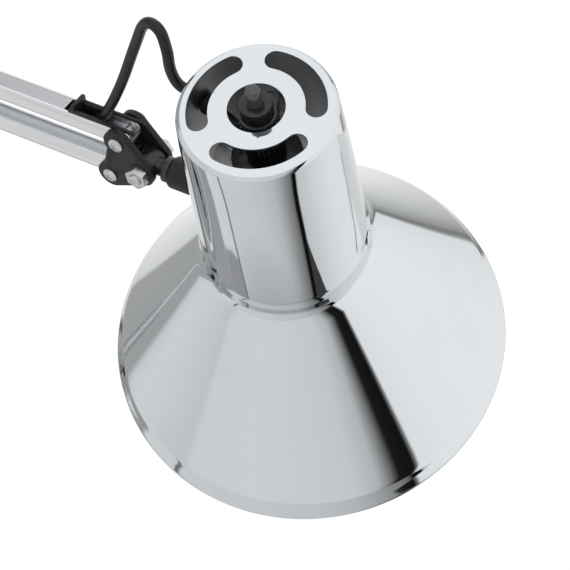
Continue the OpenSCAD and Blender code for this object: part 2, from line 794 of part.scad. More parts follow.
module guides() {
    color(black) {
        cord_guide();
        translate([arm_len, 0, 0]) mirror([1, 0, 0]) cord_guide();
    }
}

module lower_cord_guides() {
    on_arm(lower_main_foot, lower_angle) guides();
}

module upper_cord_guides() {
    on_arm(upper_main_foot, upper_rise) guides();
}

// a point given along and across an arm, in world coordinates
function arm_point(p, angle, x, z) =
    [p[0] + x * cos(angle) - z * sin(angle), 0, p[1] + x * sin(angle) + z * cos(angle)];
function from(p, d) = [p[0] + d[0], d[1], p[1] + d[2]];
function along(dir) = [dir[0], 0, dir[1]];

turret_route = [[0, 0, foot_top], [0, 0, foot_top + 5], [-2, 0, foot_top + 14], [-4.5, 0, foot_top + 24],
    from(lower_main_foot, [-12.5, 0, 0]), from(lower_main_foot, [-10.5, 0, 9]),
    from(lower_main_foot, [-5.5, 0, 17]),
    arm_point(lower_main_foot, lower_angle, guide_far, cord_in_bar_z)];

module turret_loop() {
    path = smooth(turret_route, 2);
    cord_piece(path, 0, len(path) - 1, [0, 0, 1], along(lower_dir));
}

elbow_route = [
    arm_point(elbow_main, lower_angle, -guide_far, cord_in_bar_z),
    arm_point(elbow_main, lower_angle, -guide_far + 8, cord_in_bar_z + 2),
    arm_point(elbow_main, lower_angle, -guide_far + 15, cord_in_bar_z + 7),
    from(elbow_main, [-17, 0, 4]), from(elbow_main, [-25, 0, 24]), from(elbow_main, [-26, 0, 46]),
    from(elbow_main, [-17, 0, 68]), from(elbow_main, [-2, 0, 84]), from(elbow_main, [17, 0, 89]),
    from(elbow_main, [33, 0, 82]), from(elbow_main, [42, 0, 70]),
    arm_point(upper_main_foot, upper_rise, guide_far - 9, cord_in_bar_z + 7),
    arm_point(upper_main_foot, upper_rise, guide_far, cord_in_bar_z)];
elbow_split = 7;   // route point that the elbow carries

module elbow_loop_in() {
    cord_piece(smooth(elbow_route, 2), 0, 2 * elbow_split, along(lower_dir));
}

module elbow_loop_out() {
    path = smooth(elbow_route, 2);
    cord_piece(path, 2 * elbow_split, len(path) - 1, undef, along(upper_dir));
}

// loose loop from the upper arm over to the housing's rear wall
head_route = [
    arm_point(head_main, upper_rise, -guide_far, cord_in_bar_z),
    arm_point(head_main, upper_rise, -guide_far + 7, cord_in_bar_z + 2),
    arm_point(head_main, upper_rise, -guide_far + 13, cord_in_bar_z + 7.5),
    from(tilt_pivot, [-18, 0, 29]), from(tilt_pivot, [-12.5, 0, 40]), from(tilt_pivot, [-8, 0, 50]),
    from(tilt_pivot, [-4, 0, 60]),
    from(tilt_pivot, [1.5, -0.5, 73]), from(tilt_pivot, [7, -2.5, 84]), from(tilt_pivot, [12.5, -4.5, 89]),
    from(tilt_pivot, [18.5, -6.5, 88]), from(tilt_pivot, [21.5, -7.5, 80]), from(tilt_pivot, [22, -7, 70]),
    from(tilt_pivot, [24, -5, 61.5]), grommet_out - 3.5 * grommet_inward, grommet_out];
head_split_a = 6;  // route point that the bracket carries
head_split_b = 11; // route point that the knuckle carries

module head_loop_in() {
    cord_piece(smooth(head_route, 2), 0, 2 * head_split_a, along(upper_dir));
}

module head_loop_mid() {
    cord_piece(smooth(head_route, 2), 2 * head_split_a, 2 * head_split_b);
}

module head_loop_out() {
    path = smooth(head_route, 2);
    cord_piece(path, 2 * head_split_b, len(path) - 1, undef, grommet_inward);
}

// flex inside the housing, from the grommet into the lampholder's top
module head_cord() {
    route = [[grommet_wall_r + grommet_face, 0, grommet_z], [grommet_wall_r - 4, 0, grommet_z],
        [grommet_wall_r - 11, 0, grommet_z], [18, 0, grommet_z - 1.5], [13, 0, holder_top + 4.5],
        [entry_r, 0, holder_top + 1], [entry_r, 0, holder_top - entry_depth + seat_gap]];
    path = smooth(route, 2);
    in_head() rotate(grommet_angle) cord_piece(path, 0, len(path) - 1, [-1, 0, 0], [0, 0, -1]);
}

// ------------------------------------------------------------------ elbow

elbow_points = [elbow_aux, elbow_main, upper_anchor_at, upper_main_foot];
elbow_pivots = [elbow_main, elbow_aux, upper_main_foot, upper_aux_foot];

module elbow_plate(side) {
    near = side < 0;
    color(black) difference() {
        union() {
            upright(near ? -plate_out : plate_in, near ? -plate_in : plate_out) {
                web2d(elbow_points, lobe_r, [lobe_r, 6, 5, 6]);
                capsule2d(upper_aux_foot, upper_main_foot, lobe_r);
                capsule2d(upper_aux_foot, elbow_aux, lobe_r);
            }
            for (p = elbow_pivots)
                cross_pin(p, 4.2, near ? -plate_in - eps : bar_w / 2 + face_gap,
                    near ? -bar_w / 2 - face_gap : plate_in + eps);
        }
        for (p = elbow_pivots) cross_pin(p, screw_r + seat_gap, -20, 20);
        for (p = elbow_spacer_at) cross_pin(p, screw_r + seat_gap, -20, 20);
        cross_pin(upper_anchor_at, anchor_r + seat_gap, -20, 20);
    }
}

elbow_spacer_at = [(elbow_main + upper_anchor_at) / 2 + [1, 0]];
module elbow_plate_near() {
    elbow_plate(-1);
}

module elbow_plate_far() {
    elbow_plate(1);
}

// sleeves that keep the elbow's plates apart, each riveted through them
module elbow_spacers() {
    color(zinc) for (p = elbow_spacer_at) {
        cross_pin(p, 3.5, -plate_in, plate_in);
        cross_pin(p, screw_r, -plate_out - 1, plate_out + 1);
        for (s = [-1, 1])
            cross_pin(p, 3, s < 0 ? -plate_out - 1.2 : plate_out, s < 0 ? -plate_out : plate_out + 1.2);
    }
}

module elbow_screws() {
    color(zinc) for (p = elbow_pivots) screw_and_nut(p);
}

// ----------------------------------------------------------- head bracket

head_points = [head_main, tilt_pivot, head_aux];
spacer_at = (head_main + head_aux + tilt_pivot) / 3;
spacer_r = 2.8;

module head_plate(side) {
    near = side < 0;
    color(black) difference() {
        union() {
            upright(near ? -plate_out : plate_in, near ? -plate_in : plate_out)
                web2d(head_points, lobe_r, [lobe_r, lobe_r, 4.5]);
            for (p = head_points)
                cross_pin(p, 4.2, near ? -plate_in - eps : bar_w / 2 + face_gap,
                    near ? -bar_w / 2 - face_gap : plate_in + eps);
            cross_pin(spacer_at, spacer_r, near ? -plate_in - eps : 0, near ? 0 : plate_in + eps);
        }
        for (p = [head_main, head_aux]) cross_pin(p, screw_r + seat_gap, -20, 20);
        cross_pin(tilt_pivot, bolt_r + seat_gap, -20, 20);
    }
}

module head_plate_near() {
    head_plate(-1);
}

module head_plate_far() {
    head_plate(1);
}

module head_screws() {
    color(zinc) for (p = [head_main, head_aux]) screw_and_nut(p);
}

bolt_nut_t = 4.6;

// bolt with its hex head on the far side
module tilt_bolt() {
    color(zinc) {
        cross_pin(tilt_pivot, bolt_r, -plate_out - bolt_nut_t - 1.2, plate_out);
        translate([tilt_pivot[0], plate_out + 3.6, tilt_pivot[1]]) rotate([90, 0, 0])
            cylinder(h = 3.6, r = bolt_af / sqrt(3), $fn = 6);
    }
}

module tilt_nut() {
    color(zinc) translate([tilt_pivot[0], -plate_out, tilt_pivot[1]]) rotate([90, 20, 0]) difference() {
        cylinder(h = bolt_nut_t, r = bolt_af / sqrt(3), $fn = 6);
        translate([0, 0, -eps]) cylinder(h = bolt_nut_t + 2 * eps, r = bolt_r + seat_gap);
    }
}

// --------------------------------------------------------------- knuckle

spigot_r = 4;
collar_x = 9.5;     // the neck's collar begins here, from the tilt bolt
collar_w = 3;
sleeve_x = collar_x + collar_w + face_gap;
spigot_end = 30;

// lug on the tilt bolt with a spigot that the neck sleeve turns on
module tilt_knuckle() {
    color(black) translate([tilt_pivot[0], 0, tilt_pivot[1]]) difference() {
        union() {
            rotate([90, 0, 0]) cylinder(h = 2 * (bar_w / 2), r = knuckle_r, center = true);
            rotate([0, 90, 0]) cylinder(h = collar_x + 0.5, r = 4.6);
            translate([collar_x, 0, 0]) rotate([0, 90, 0]) cylinder(h = collar_w, r = 6.4);
            rotate([0, 90, 0]) cylinder(h = spigot_end, r = spigot_r);
        }
        rotate([90, 0, 0]) cylinder(h = 2 * bar_w, r = bolt_r + fit, center = true);
        translate([spigot_end - neck_screw_len, 0, 0]) rotate([0, 90, 0])
            cylinder(h = neck_screw_len + eps, r = neck_screw_r + seat_gap);
    }
}

neck_screw_r = 2.2;
neck_screw_len = 12;    // length of the screw inside the spigot

// screw from inside the housing into the knuckle's spigot, with its washer
module neck_screw() {
    start = tilt_pivot[0] + spigot_end - neck_screw_len + 1;
    head_x = neck_at[0] - housing_r_at(0) + sheet_t + 1.2;
    color(zinc) translate([0, 0, tilt_pivot[1]]) rotate([0, 90, 0]) difference() {
        union() {
            translate([0, 0, start]) cylinder(h = head_x - start, r = neck_screw_r);
            translate([0, 0, head_x]) cylinder(h = 1, r = 6);
            translate([0, 0, head_x + 1]) cylinder(h = 2.6, r = 4);
        }
        for (turn = [0, 90]) translate([0, 0, head_x + 3.6]) rotate(turn) cube([1, 5, 2.4], center = true);
    }
}

// ------------------------------------------------------------------- head

// places children in the head's frame, swivelled about the neck
module in_head() {
    translate(neck_at) rotate([head_swivel, 0, 0]) children();
}

shoulder = 2.2;

// black sleeve between the knuckle and the housing
module neck_sleeve() {
    wall_x = -housing_r_at(0);
    first = sleeve_x - neck_len;
    color(black) in_head() difference() {
        union() {
            translate([first + shoulder, 0, 0]) rotate([0, 90, 0])
                cylinder(h = wall_x - first - shoulder + 12, r = neck_r);
            translate([first, 0, 0]) rotate([0, 90, 0]) cylinder(h = shoulder + 1, r = neck_r - shoulder);
            translate([first + shoulder, 0, 0]) rotate([0, 90, 0]) rotate_extrude()
                translate([neck_r - shoulder, 0]) circle(shoulder);
        }
        // follows the housing's cone, which passes through its far end
        housing_cone(-seat_gap);
        translate([first - eps, 0, 0]) rotate([0, 90, 0])
            cylinder(h = spigot_end - sleeve_x + 1, r = spigot_r + fit);
        translate([first, 0, 0]) rotate([0, 90, 0]) cylinder(h = neck_len, r = neck_screw_r + fit);
    }
}

// solid cone of the housing's outside, drawn in by `grow`
module housing_cone(grow) {
    translate([0, 0, waist_z - 1]) cylinder(h = housing_len + 1, r1 = housing_r_at(waist_z - 1) - grow,
        r2 = cap_r - grow, $fn = 128);
}

module housing_profile() {
    e = cap_edge_r;
    t = sheet_t;
    top_r = cap_r - e;
    difference() {
        union() {
            polygon([[0, waist_z], [waist_r, waist_z], [housing_r_at(cap_z - e), cap_z - e], [0, cap_z - e]]);
            translate([top_r, cap_z - e]) circle(e);
            translate([0, cap_z - e]) square([top_r, e]);
        }
        polygon([[-1, waist_z - 1], [housing_r_at(waist_z - 1) - t, waist_z - 1],
            [housing_r_at(cap_z - e) - t, cap_z - e], [-1, cap_z - e]]);
        translate([top_r, cap_z - e]) circle(e - t);
        translate([-1, cap_z - e - eps]) square([top_r + 1, e - t + eps]);
    }
}

// one slot of the cap: an arc with round ends
module cap_slot() {
    translate([0, 0, cap_z - 4]) {
        rotate(-slot_half_angle) rotate_extrude(angle = 2 * slot_half_angle)
            translate([slot_mid_r - slot_w / 2, 0]) square([slot_w, 8]);
        for (s = [-1, 1]) rotate(s * slot_half_angle) translate([slot_mid_r, 0, 0])
            cylinder(h = 8, r = slot_w / 2);
    }
}

// spun housing with the cap's slots, and holes for the neck's screw and the flex
module lamp_housing() {
    color(bright) in_head() difference() {
        rotate_extrude($fn = 128) housing_profile();
        for (a = [60, 180, 300]) rotate(a) cap_slot();
        translate([0, 0, cap_z - 4]) cylinder(h = 8, r = cap_hole_r);
        rotate([0, -90, 0]) cylinder(h = waist_r + 5, r = neck_screw_r + fit);
        at_rivets() translate([0, 0, -4]) cylinder(h = 8, r = rivet_r + seat_gap);
        rotate(grommet_angle) translate([grommet_wall_r - 8, 0, grommet_z]) rotate([0, 90, 0])
            cylinder(h = 16, r = grommet_r - 1.4);
    }
}

collar_band = 15;   // height of the shade's ring inside the housing
rivet_z = waist_z + 10;
rivet_angles = [14, 194];
rivet_r = 1.6;
rivet_head_r = 4;
neck_band = 1.5;    // straight stretch of the shade below the housing
hem_h = 2.5;        // height of the hem rolled inside the rim
hem_t = 0.8;

// the cone's side runs from under the housing to touch the bend above the rim band
cone_start = [waist_r, waist_z - neck_band];
bend_at = [rim_r - shoulder_r, rim_z + lip_h];
bend_away = bend_at - cone_start;
cone_slope = atan2(bend_away[1], bend_away[0]) + asin(shoulder_r / norm(bend_away));
cone_out = [-sin(cone_slope), cos(cone_slope)];

// section of the space under the shade's skin, drawn in by t
module shade_fill(t, low) {
    touch = bend_at + (shoulder_r - t) * cone_out;
    top_r = t == 0 ? waist_r : ring_in_r;
    top_z = touch[1] + (top_r - touch[0]) * tan(cone_slope);
    polygon([[0, low], [rim_r - t, low], [rim_r - t, bend_at[1]], touch, [top_r, top_z], [0, top_z]]);
    intersection() {
        translate(bend_at) circle(shoulder_r - t, $fn = 96);
        translate([0, bend_at[1]]) square([rim_r + 1, shoulder_r]);
    }
}

ring_out_r = waist_r - sheet_t - seat_gap;   // the ring's foot; it narrows with the housing
ring_in_r = ring_out_r - sheet_t;
ring_narrows = collar_band * housing_slope;

// places children on the housing's wall at the rivets, with +Z outward
module at_rivets() {
    for (a = rivet_angles) rotate(a) translate([housing_r_at(rivet_z), 0, rivet_z])
        rotate([0, 90 - atan(housing_slope), 0]) children();
}

module shade_profile() {
    difference() {
        union() {
            shade_fill(0, rim_z);
            translate([0, cone_start[1] - 1]) square([waist_r, neck_band + 1 - seat_gap]);
            translate([0, cone_start[1] - 1]) square([ring_out_r, neck_band + 1]);
            polygon([[0, waist_z - 1], [ring_out_r, waist_z - 1], [ring_out_r, waist_z],
                [ring_out_r - ring_narrows, waist_z + collar_band], [0, waist_z + collar_band]]);
        }
        difference() {
            shade_fill(sheet_t, rim_z - 1);
            translate([rim_r - sheet_t - hem_t, rim_z - 2]) square([hem_t + 1, hem_h + 2]);
        }
        polygon([[-1, cone_start[1] - 12], [ring_in_r, cone_start[1] - 12], [ring_in_r, waist_z],
            [ring_in_r - ring_narrows, waist_z + collar_band], [ring_in_r - ring_narrows, cap_z],
            [-1, cap_z]]);
    }
}

module shade() {
    color(bright) in_head() difference() {
        rotate_extrude($fn = 160) shade_profile();
        at_rivets() translate([0, 0, -8]) cylinder(h = 12, r = rivet_r + seat_gap);
    }
}

// flat rivets that join the shade's ring to the housing
module shade_rivets() {
    color(bright) in_head() at_rivets() {
        translate([0, 0, -3.2]) cylinder(h = 3.5, r = rivet_r);
        difference() {
            translate([0, 0, 0.25]) cylinder(h = 0.7, r1 = rivet_head_r, r2 = rivet_head_r - 0.6);
            translate([0, 0, -eps]) cylinder(h = eps, r = rivet_head_r + 1);
        }
        translate([0, 0, -3.6]) cylinder(h = 1, r = 2.4);
    }
}

// ---------------------------------------------------------- inner fittings

holder_top = cap_z - holder_depth;
holder_low = holder_top - holder_len;
bracket_z = holder_top - 6;
bracket_t = 2;

// three-legged metal bracket that carries the lampholder inside the housing
module holder_bracket() {
    leg_w = 12;
    leg_r = housing_r_at(bracket_z) - sheet_t - 0.25;
    color(zinc) in_head() difference() {
        union() {
            translate([0, 0, bracket_z]) cylinder(h = bracket_t, r = holder_r + 4);
            intersection() {
                union() {
                    for (a = [0, 120, 240]) rotate(a) translate([0, -leg_w / 2, bracket_z])
                        cube([leg_r + 5, leg_w, bracket_t]);
                    for (a = [0, 120, 240]) rotate(a) translate([leg_r - 2.2, -leg_w / 2, bracket_z - 10])
                        cube([8, leg_w, 12]);
                }
                translate([0, 0, waist_z]) cylinder(h = housing_len - 4,
                    r1 = waist_r - sheet_t - 0.25, r2 = housing_r_at(cap_z - 4) - sheet_t - 0.25, $fn = 128);
            }
        }
        translate([0, 0, bracket_z - eps]) cylinder(h = bracket_t + 2 * eps, r = holder_r * 0.62 + seat_gap);
    }
}

// ribbed black lampholder with its stepped top
module lampholder() {
    neck = holder_r * 0.62;
    color(black) in_head() difference() {
        union() {
            translate([0, 0, holder_low]) cylinder(h = bracket_z - holder_low, r = holder_r);
            translate([0, 0, bracket_z - eps]) cylinder(h = holder_top - bracket_z + eps, r = neck);
            cylinder_between(bracket_z + bracket_t + seat_gap, holder_top, neck + 3);
            for (a = [0 : 15 : 345]) rotate(a) translate([holder_r, 0, holder_low + 12])
                cylinder(h = 26, r = 0.8, $fn = 16);
        }
        translate([0, 0, holder_low - eps]) cylinder(h = 30 + eps, r = bulb_thread_r + 0.8);
        translate([0, 0, holder_top - 18]) cylinder(h = 18 + eps, r = stem_r + 2.2);
        rotate(grommet_angle) translate([entry_r, 0, holder_top - entry_depth])
            cylinder(h = 10, r = cord_r + seat_gap);
    }
}

entry_r = 11.3;       // the flex enters the lampholder's top this far from its axis
entry_depth = 2.5;
bulb_thread_r = 13.2;
stem_low = holder_top - 14;
collar_low = holder_top;

// ribbed collar of the push switch, standing through the cap
module switch_collar() {
    color(black) in_head() difference() {
        union() {
            translate([0, 0, collar_low]) cylinder(h = cap_z + collar_rise - collar_low, r = collar_r);
            translate([0, 0, collar_low]) cylinder(h = cap_z - 4 - collar_low, r = collar_r + 1.2);
            for (a = [0 : 15 : 345]) rotate(a) translate([collar_r + 1.2, 0, collar_low])
                cylinder(h = cap_z - 6 - collar_low, r = 0.6, $fn = 16);
        }
        translate([0, 0, collar_low - eps])
            cylinder(h = cap_z + collar_rise - collar_low + 2 * eps, r = stem_r + fit);
    }
}

module switch_stem() {
    color(black) in_head() {
        translate([0, 0, stem_low]) cylinder(h = cap_z + stem_rise - 1 - stem_low, r = stem_r);
        translate([0, 0, cap_z + stem_rise - 1]) cylinder(h = 1, r1 = stem_r, r2 = stem_r - 0.8);
        translate([0, 0, stem_low]) cylinder(h = 3, r = stem_r + 1.6);
    }
}

module cord_grommet() {
    color(black) in_head() rotate(grommet_angle) translate([grommet_wall_r, 0, grommet_z]) rotate([0, 90, 0])
        rotate_extrude($fn = 48) difference() {
            union() {
                translate([0, -5]) square([grommet_r - 1.5, 9]);
                translate([0, 0.55]) square([grommet_r, 2.4]);
                translate([0, -3.8]) square([grommet_r, 2]);
            }
            translate([-1, -10]) square([cord_r + 1, 20]);
        }
}

// bulb: screw cap and globe
bulb_seat = holder_low + 28;

module bulb_cap() {
    color([0.8, 0.8, 0.78]) in_head() {
        translate([0, 0, bulb_seat - bulb_cap_h]) cylinder(h = bulb_cap_h - 2, r = bulb_thread_r - 0.6);
        for (i = [0 : 3]) translate([0, 0, bulb_seat - bulb_cap_h + 2 + i * 5])
            cylinder(h = 2.4, r = bulb_thread_r);
        translate([0, 0, bulb_seat - 2]) cylinder(h = 2, r1 = 9, r2 = 5);
    }
}

glass_t = 1;
bulb_cap_h = 26;

// outside of the globe and its neck, drawn in by t
module bulb_form(t) {
    globe_z = bulb_seat - bulb_cap_h - bulb_len + bulb_r;
    shoulder_z = globe_z + bulb_r * 0.8;
    translate([0, 0, globe_z]) sphere(bulb_r - t, $fn = 96);
    translate([0, 0, shoulder_z]) cylinder(h = bulb_seat - bulb_cap_h - shoulder_z + (t > 0 ? eps : 0),
        r1 = bulb_r * 0.6 - t, r2 = 12 - t, $fn = 96);
}

module bulb_glass() {
    color([0.95, 0.95, 0.92, 0.6]) in_head() difference() {
        bulb_form(0);
        bulb_form(glass_t);
    }
}

// -------------------------------------------------------------- selection

base_pad();
base_weight();
base_cover();
post_socket();
socket_screws();
post_bush();
strain_relief();
base_cord();
mains_lead();
lead_coil();
coil_tie();
plug_body();
plug_pins();
swivel_pin();
pin_clip();
turret_yoke();
turret_screws();
lower_spring_anchor();
lower_main_bar();
lower_spring_pin();
lower_springs();
lower_cord();
lower_cord_guides();
turret_loop();
lower_aux_bar();
elbow_plate_near();
elbow_plate_far();
elbow_spacers();
elbow_screws();
upper_spring_anchor();
elbow_loop_in();
upper_main_bar();
upper_spring_pin();
upper_springs();
upper_cord();
upper_cord_guides();
elbow_loop_out();
upper_aux_bar();
head_plate_near();
head_plate_far();
head_screws();
tilt_bolt();
tilt_nut();
head_loop_in();
tilt_knuckle();
neck_screw();
head_loop_mid();
neck_sleeve();
lamp_housing();
shade();
shade_rivets();
holder_bracket();
lampholder();
switch_collar();
cord_grommet();
head_cord();
bulb_cap();
bulb_glass();
head_loop_out();
switch_stem();
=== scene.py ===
"""Folding desk lamp: weighted round base, two parallel-bar arms and a bright slotted head."""

import math

import bmesh
import bpy
from mathutils import Matrix, Vector


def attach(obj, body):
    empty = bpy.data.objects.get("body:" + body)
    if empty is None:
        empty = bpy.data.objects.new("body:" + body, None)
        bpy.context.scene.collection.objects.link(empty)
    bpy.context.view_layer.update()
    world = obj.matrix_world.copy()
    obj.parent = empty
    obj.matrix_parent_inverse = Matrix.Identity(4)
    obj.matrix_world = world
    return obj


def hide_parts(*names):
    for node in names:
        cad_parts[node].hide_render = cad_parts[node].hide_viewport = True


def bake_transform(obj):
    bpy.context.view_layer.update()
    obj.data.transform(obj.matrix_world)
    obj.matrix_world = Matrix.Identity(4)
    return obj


bl_info = {
    "name": "Folding Desk Lamp",
    "version": (1, 0, 0),
    "blender": (4, 5, 0),
    "location": "View3D > Sidebar > Lamp",
    "description": "Dresses the desk lamp's frame with finished pieces and materials",
    "category": "Object",
}

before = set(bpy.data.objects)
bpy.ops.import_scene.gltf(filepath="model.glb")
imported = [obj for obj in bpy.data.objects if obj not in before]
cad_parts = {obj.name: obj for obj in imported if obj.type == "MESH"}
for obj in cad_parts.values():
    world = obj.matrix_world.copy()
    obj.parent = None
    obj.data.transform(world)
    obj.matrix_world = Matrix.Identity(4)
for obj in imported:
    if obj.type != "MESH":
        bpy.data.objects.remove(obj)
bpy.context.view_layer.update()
MM = 0.001
# edges that turn by more than this many degrees are eased, on copies of the CAD and on the shell
CAD_SHARP, SHELL_SHARP = 38, 50

# ------------------------------------------------------------------ sizes
# in millimetres and degrees, unless a line says otherwise

# the head's own frame: origin on its axis at the height of the neck, in metres
NECK_AT = Vector((0.437914, 0.0, 0.512877))
HEAD_SWIVEL = math.radians(14.5)
HEAD = Matrix.Translation(NECK_AT) @ Matrix.Rotation(HEAD_SWIVEL, 4, "X")
CAP_Z, WAIST_Z, RIM_Z = 82.0, -23.0, -130.0
CAP_R, WAIST_R, RIM_R = 33.0, 41.0, 109.0
HOUSING_SLOPE = (WAIST_R - CAP_R) / (CAP_Z - WAIST_Z)
CAP_EDGE_R, CAP_HOLE_R = 3.0, 11.8
SLOT_MID_R, SLOT_HALF, SLOT_ANGLES = 24.0, 38.5, (60, 180, 300)
GROMMET_HOLE_R, LEAD_HOLE_R = 3.2, 4.15
SHEET = 0.8
# the crease over the slanting band at the shade's rim, in from the edge and above it
BAND_IN, BAND_HIGH = 4.8, 10.6
# the shade's ring stands this far up inside the housing
RING_HIGH = 15
NECK_R, NECK_EDGE_R, NECK_BORE_R, NECK_END_X = 8.0, 2.2, 4.05, -57.75
BULB_R, BULB_MID_Z, BULB_FOOT_Z = 30.0, -54.0, -2.0

# pivots of the linkage in the XZ plane
LEAN = 100.0
FOOT_TOP = 66.65
LOWER_MAIN_FOOT = (8.0, 100.65)
ELBOW_MAIN = (-57.986, 474.877)
UPPER_MAIN_FOOT = (-23.986, 526.877)
HEAD_MAIN = (356.014, 526.877)
TILT_PIVOT = (367.514, 512.877)
ARM = 380.0
# where the flex goes into a bar's guide, from the pivot, and where the bar's closed top starts
GUIDE_FAR, LID_FROM = 25.0, 32.0
SPRING_Y, SPRING_BODY, SPRING_COIL_R, SPRING_HOOK, SPRING_BEND = 16.5, 86.0, 3.85, 4.2, 30.0
CORD_R = 2.5
CORD_IN_BAR_Z = -1.5
BASE_R, BASE_H, BASE_EDGE_R, BASE_SHEET, BASE_FOOT = 100.0, 27.0, 9.0, 1.2, 2.0
SOCKET_HOLE_R = 13.75


def housing_radius(z):
    """Outer radius of the housing at height z in the head's frame."""
    return CAP_R + (CAP_Z - z) * HOUSING_SLOPE


# --------------------------------------------------------------- settings


class LampHeadSettings(bpy.types.PropertyGroup):
    """Sizes and finish of the bright head."""

    around: bpy.props.IntProperty(
        name="Segments", description="Faces around the turned sheet pieces", default=192, min=48, max=384
    )
    slot_width: bpy.props.FloatProperty(
        name="Slot width", description="Width of the cap's three arc slots", default=8.8 * MM, unit="LENGTH"
    )
    hem: bpy.props.FloatProperty(
        name="Rim hem",
        description="Radius of the hem that is rolled inside the shade's rim",
        default=1.3 * MM,
        unit="LENGTH",
    )
    tint: bpy.props.FloatVectorProperty(
        name="Bright metal",
        description="Colour of the plated head and base",
        subtype="COLOR",
        size=3,
        default=(0.775, 0.805, 0.825),
    )
    polish: bpy.props.FloatProperty(
        name="Roughness",
        description="Roughness of the plated metal between its marks",
        default=0.035,
        min=0.0,
        max=0.5,
        subtype="FACTOR",
    )


class LampArmSettings(bpy.types.PropertyGroup):
    """Sizes and colours of the arms, springs and brackets."""

    curls: bpy.props.IntProperty(
        name="Spring curls", description="Curls in each balance spring's body", default=42, min=12, max=60
    )
    wire: bpy.props.FloatProperty(
        name="Spring wire", description="Radius of the springs' wire", default=0.62 * MM, unit="LENGTH"
    )
    bar_tint: bpy.props.FloatVectorProperty(
        name="Bar metal",
        description="Colour of the satin steel bars",
        subtype="COLOR",
        size=3,
        default=(0.88, 0.89, 0.905),
    )
    plate_tint: bpy.props.FloatVectorProperty(
        name="Moulded plastic",
        description="Colour of the black moulded brackets and guides",
        subtype="COLOR",
        size=3,
        default=(0.007, 0.0075, 0.0085),
    )
    cord_tint: bpy.props.FloatVectorProperty(
        name="Flex",
        description="Colour of the flex's outer sheath",
        subtype="COLOR",
        size=3,
        default=(0.007, 0.0075, 0.0085),
    )


class LampStageSettings(bpy.types.PropertyGroup):
    """The floor, the studio light and the camera."""

    lens: bpy.props.FloatProperty(
        name="Focal length", description="Focal length in millimetres on a 36 mm sensor", default=70.86
    )
    world: bpy.props.FloatProperty(
        name="Room light", description="Brightness of the pale room", default=1.0, min=0.0
    )
    key: bpy.props.FloatProperty(
        name="Overhead light", description="Power of the overhead softbox, in watts", default=14.0, min=0.0
    )


# ----------------------------------------------------------- mesh helpers


def millimetres(p):
    """A point given in millimetres, in metres."""
    return Vector(p) * MM


def added(name, data):
    """A new object in the scene."""
    made = bpy.data.objects.new(name, data)
    bpy.context.scene.collection.objects.link(made)
    return made


def new_piece(name, mesh, body, metal, replaces=()):
    """A finished piece of the lamp that rides on one body, or on none."""
    piece = added(name, mesh)
    material, usual_slot = finish(metal)
    piece.data.materials.clear()
    piece.data.materials.append(material)
    if body:
        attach(piece, body)
    if replaces:
        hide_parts(*replaces)
    return piece


def smooth_by_angle(mesh, degrees):
    """Smooth shading that keeps edges sharper than the angle."""
    mesh.shade_smooth()
    mesh.set_sharp_from_angle(angle=math.radians(degrees))


def plain(bm, name):
    """Turns an edit mesh into a mesh as it is."""
    mesh = bpy.data.meshes.new(name)
    bm.to_mesh(mesh)
    bm.free()
    return mesh


def mesh_from(bm, name, degrees=35):
    """Turns an edit mesh into a mesh with outward faces."""
    bmesh.ops.recalc_face_normals(bm, faces=bm.faces)
    mesh = plain(bm, name)
    smooth_by_angle(mesh, degrees)
    return mesh


def ring_point(r, sides, k):
    """The k-th of the points round a ring."""
    a = 2 * math.pi * k / sides
    return r * math.cos(a), r * math.sin(a)


def turned(profile, around, close=True):
    """Edit mesh of a section in millimetres, closed or from axis to axis, turned about Z."""
    bm = bmesh.new()
    rings = [
        [bm.verts.new((*ring_point(r * MM, around, k), z * MM)) for k in range(around if r > 0 else 1)]
        for r, z in profile
    ]
    for a, b in zip(rings, rings[1:] + (rings[:1] if close else [])):
        for k in range(around):
            n = (k + 1) % around
            corners = [a[k % len(a)], a[n % len(a)], b[n % len(b)], b[k % len(b)]]
            corners = [v for i, v in enumerate(corners) if v not in corners[:i]]
            if len(corners) > 2:
                bm.faces.new(corners)
    return bm


def bridged(bm, low, high, capped=True):
    """Joins two rings of as many points with faces, and may close both ends."""
    if capped:
        bm.faces.new(low)
        bm.faces.new(high)
    for k in range(len(low)):
        n = (k + 1) % len(low)
        bm.faces.new((low[k], low[n], high[n], high[k]))
    return bm


def arc(centre, r, start, stop, steps):
    """Points on a circle of the section, from one angle to another in degrees."""
    turns = [math.radians(start + (stop - start) * i / steps) for i in range(steps + 1)]
    return [(centre[0] + r * math.cos(a), centre[1] + r * math.sin(a)) for a in turns]


def line(a, b, steps):
    """Points from a to b without the last, so that long faces stay short."""
    return [(a[0] + (b[0] - a[0]) * i / steps, a[1] + (b[1] - a[1]) * i / steps) for i in range(steps)]


def swept(points, radius, sides, ends=(None, None), across=Vector((0, 1, 0))):
    """Edit mesh of a round tube through points in metres; its rings' seam faces `across`."""
    bm = bmesh.new()
    last = len(points) - 1
    rings = []
    for i, p in enumerate(points):
        along = (points[min(i + 1, last)] - points[max(i - 1, 0)]).normalized()
        if i == 0 and ends[0]:
            along = ends[0].normalized()
        if i == last and ends[1]:
            along = ends[1].normalized()
        u = along.cross(across).normalized()
        v = along.cross(u)
        ring = (ring_point(radius, sides, k) for k in range(sides))
        rings.append([bm.verts.new(p + x * u + y * v) for x, y in ring])
    for a, b in zip(rings, rings[1:]):
        for k in range(sides):
            n = (k + 1) % sides
            bm.faces.new((a[k], b[k], b[n], a[n]))
    bm.faces.new(rings[0])
    bm.faces.new(rings[-1])
    return bm


def curve_point(a, b, c, d, t):
    """One point of a smooth curve through b and c."""
    return 0.5 * (
        2 * b + (c - a) * t + (2 * a - 5 * b + 4 * c - d) * t * t + (3 * b - 3 * c + d - a) * t**3
    )


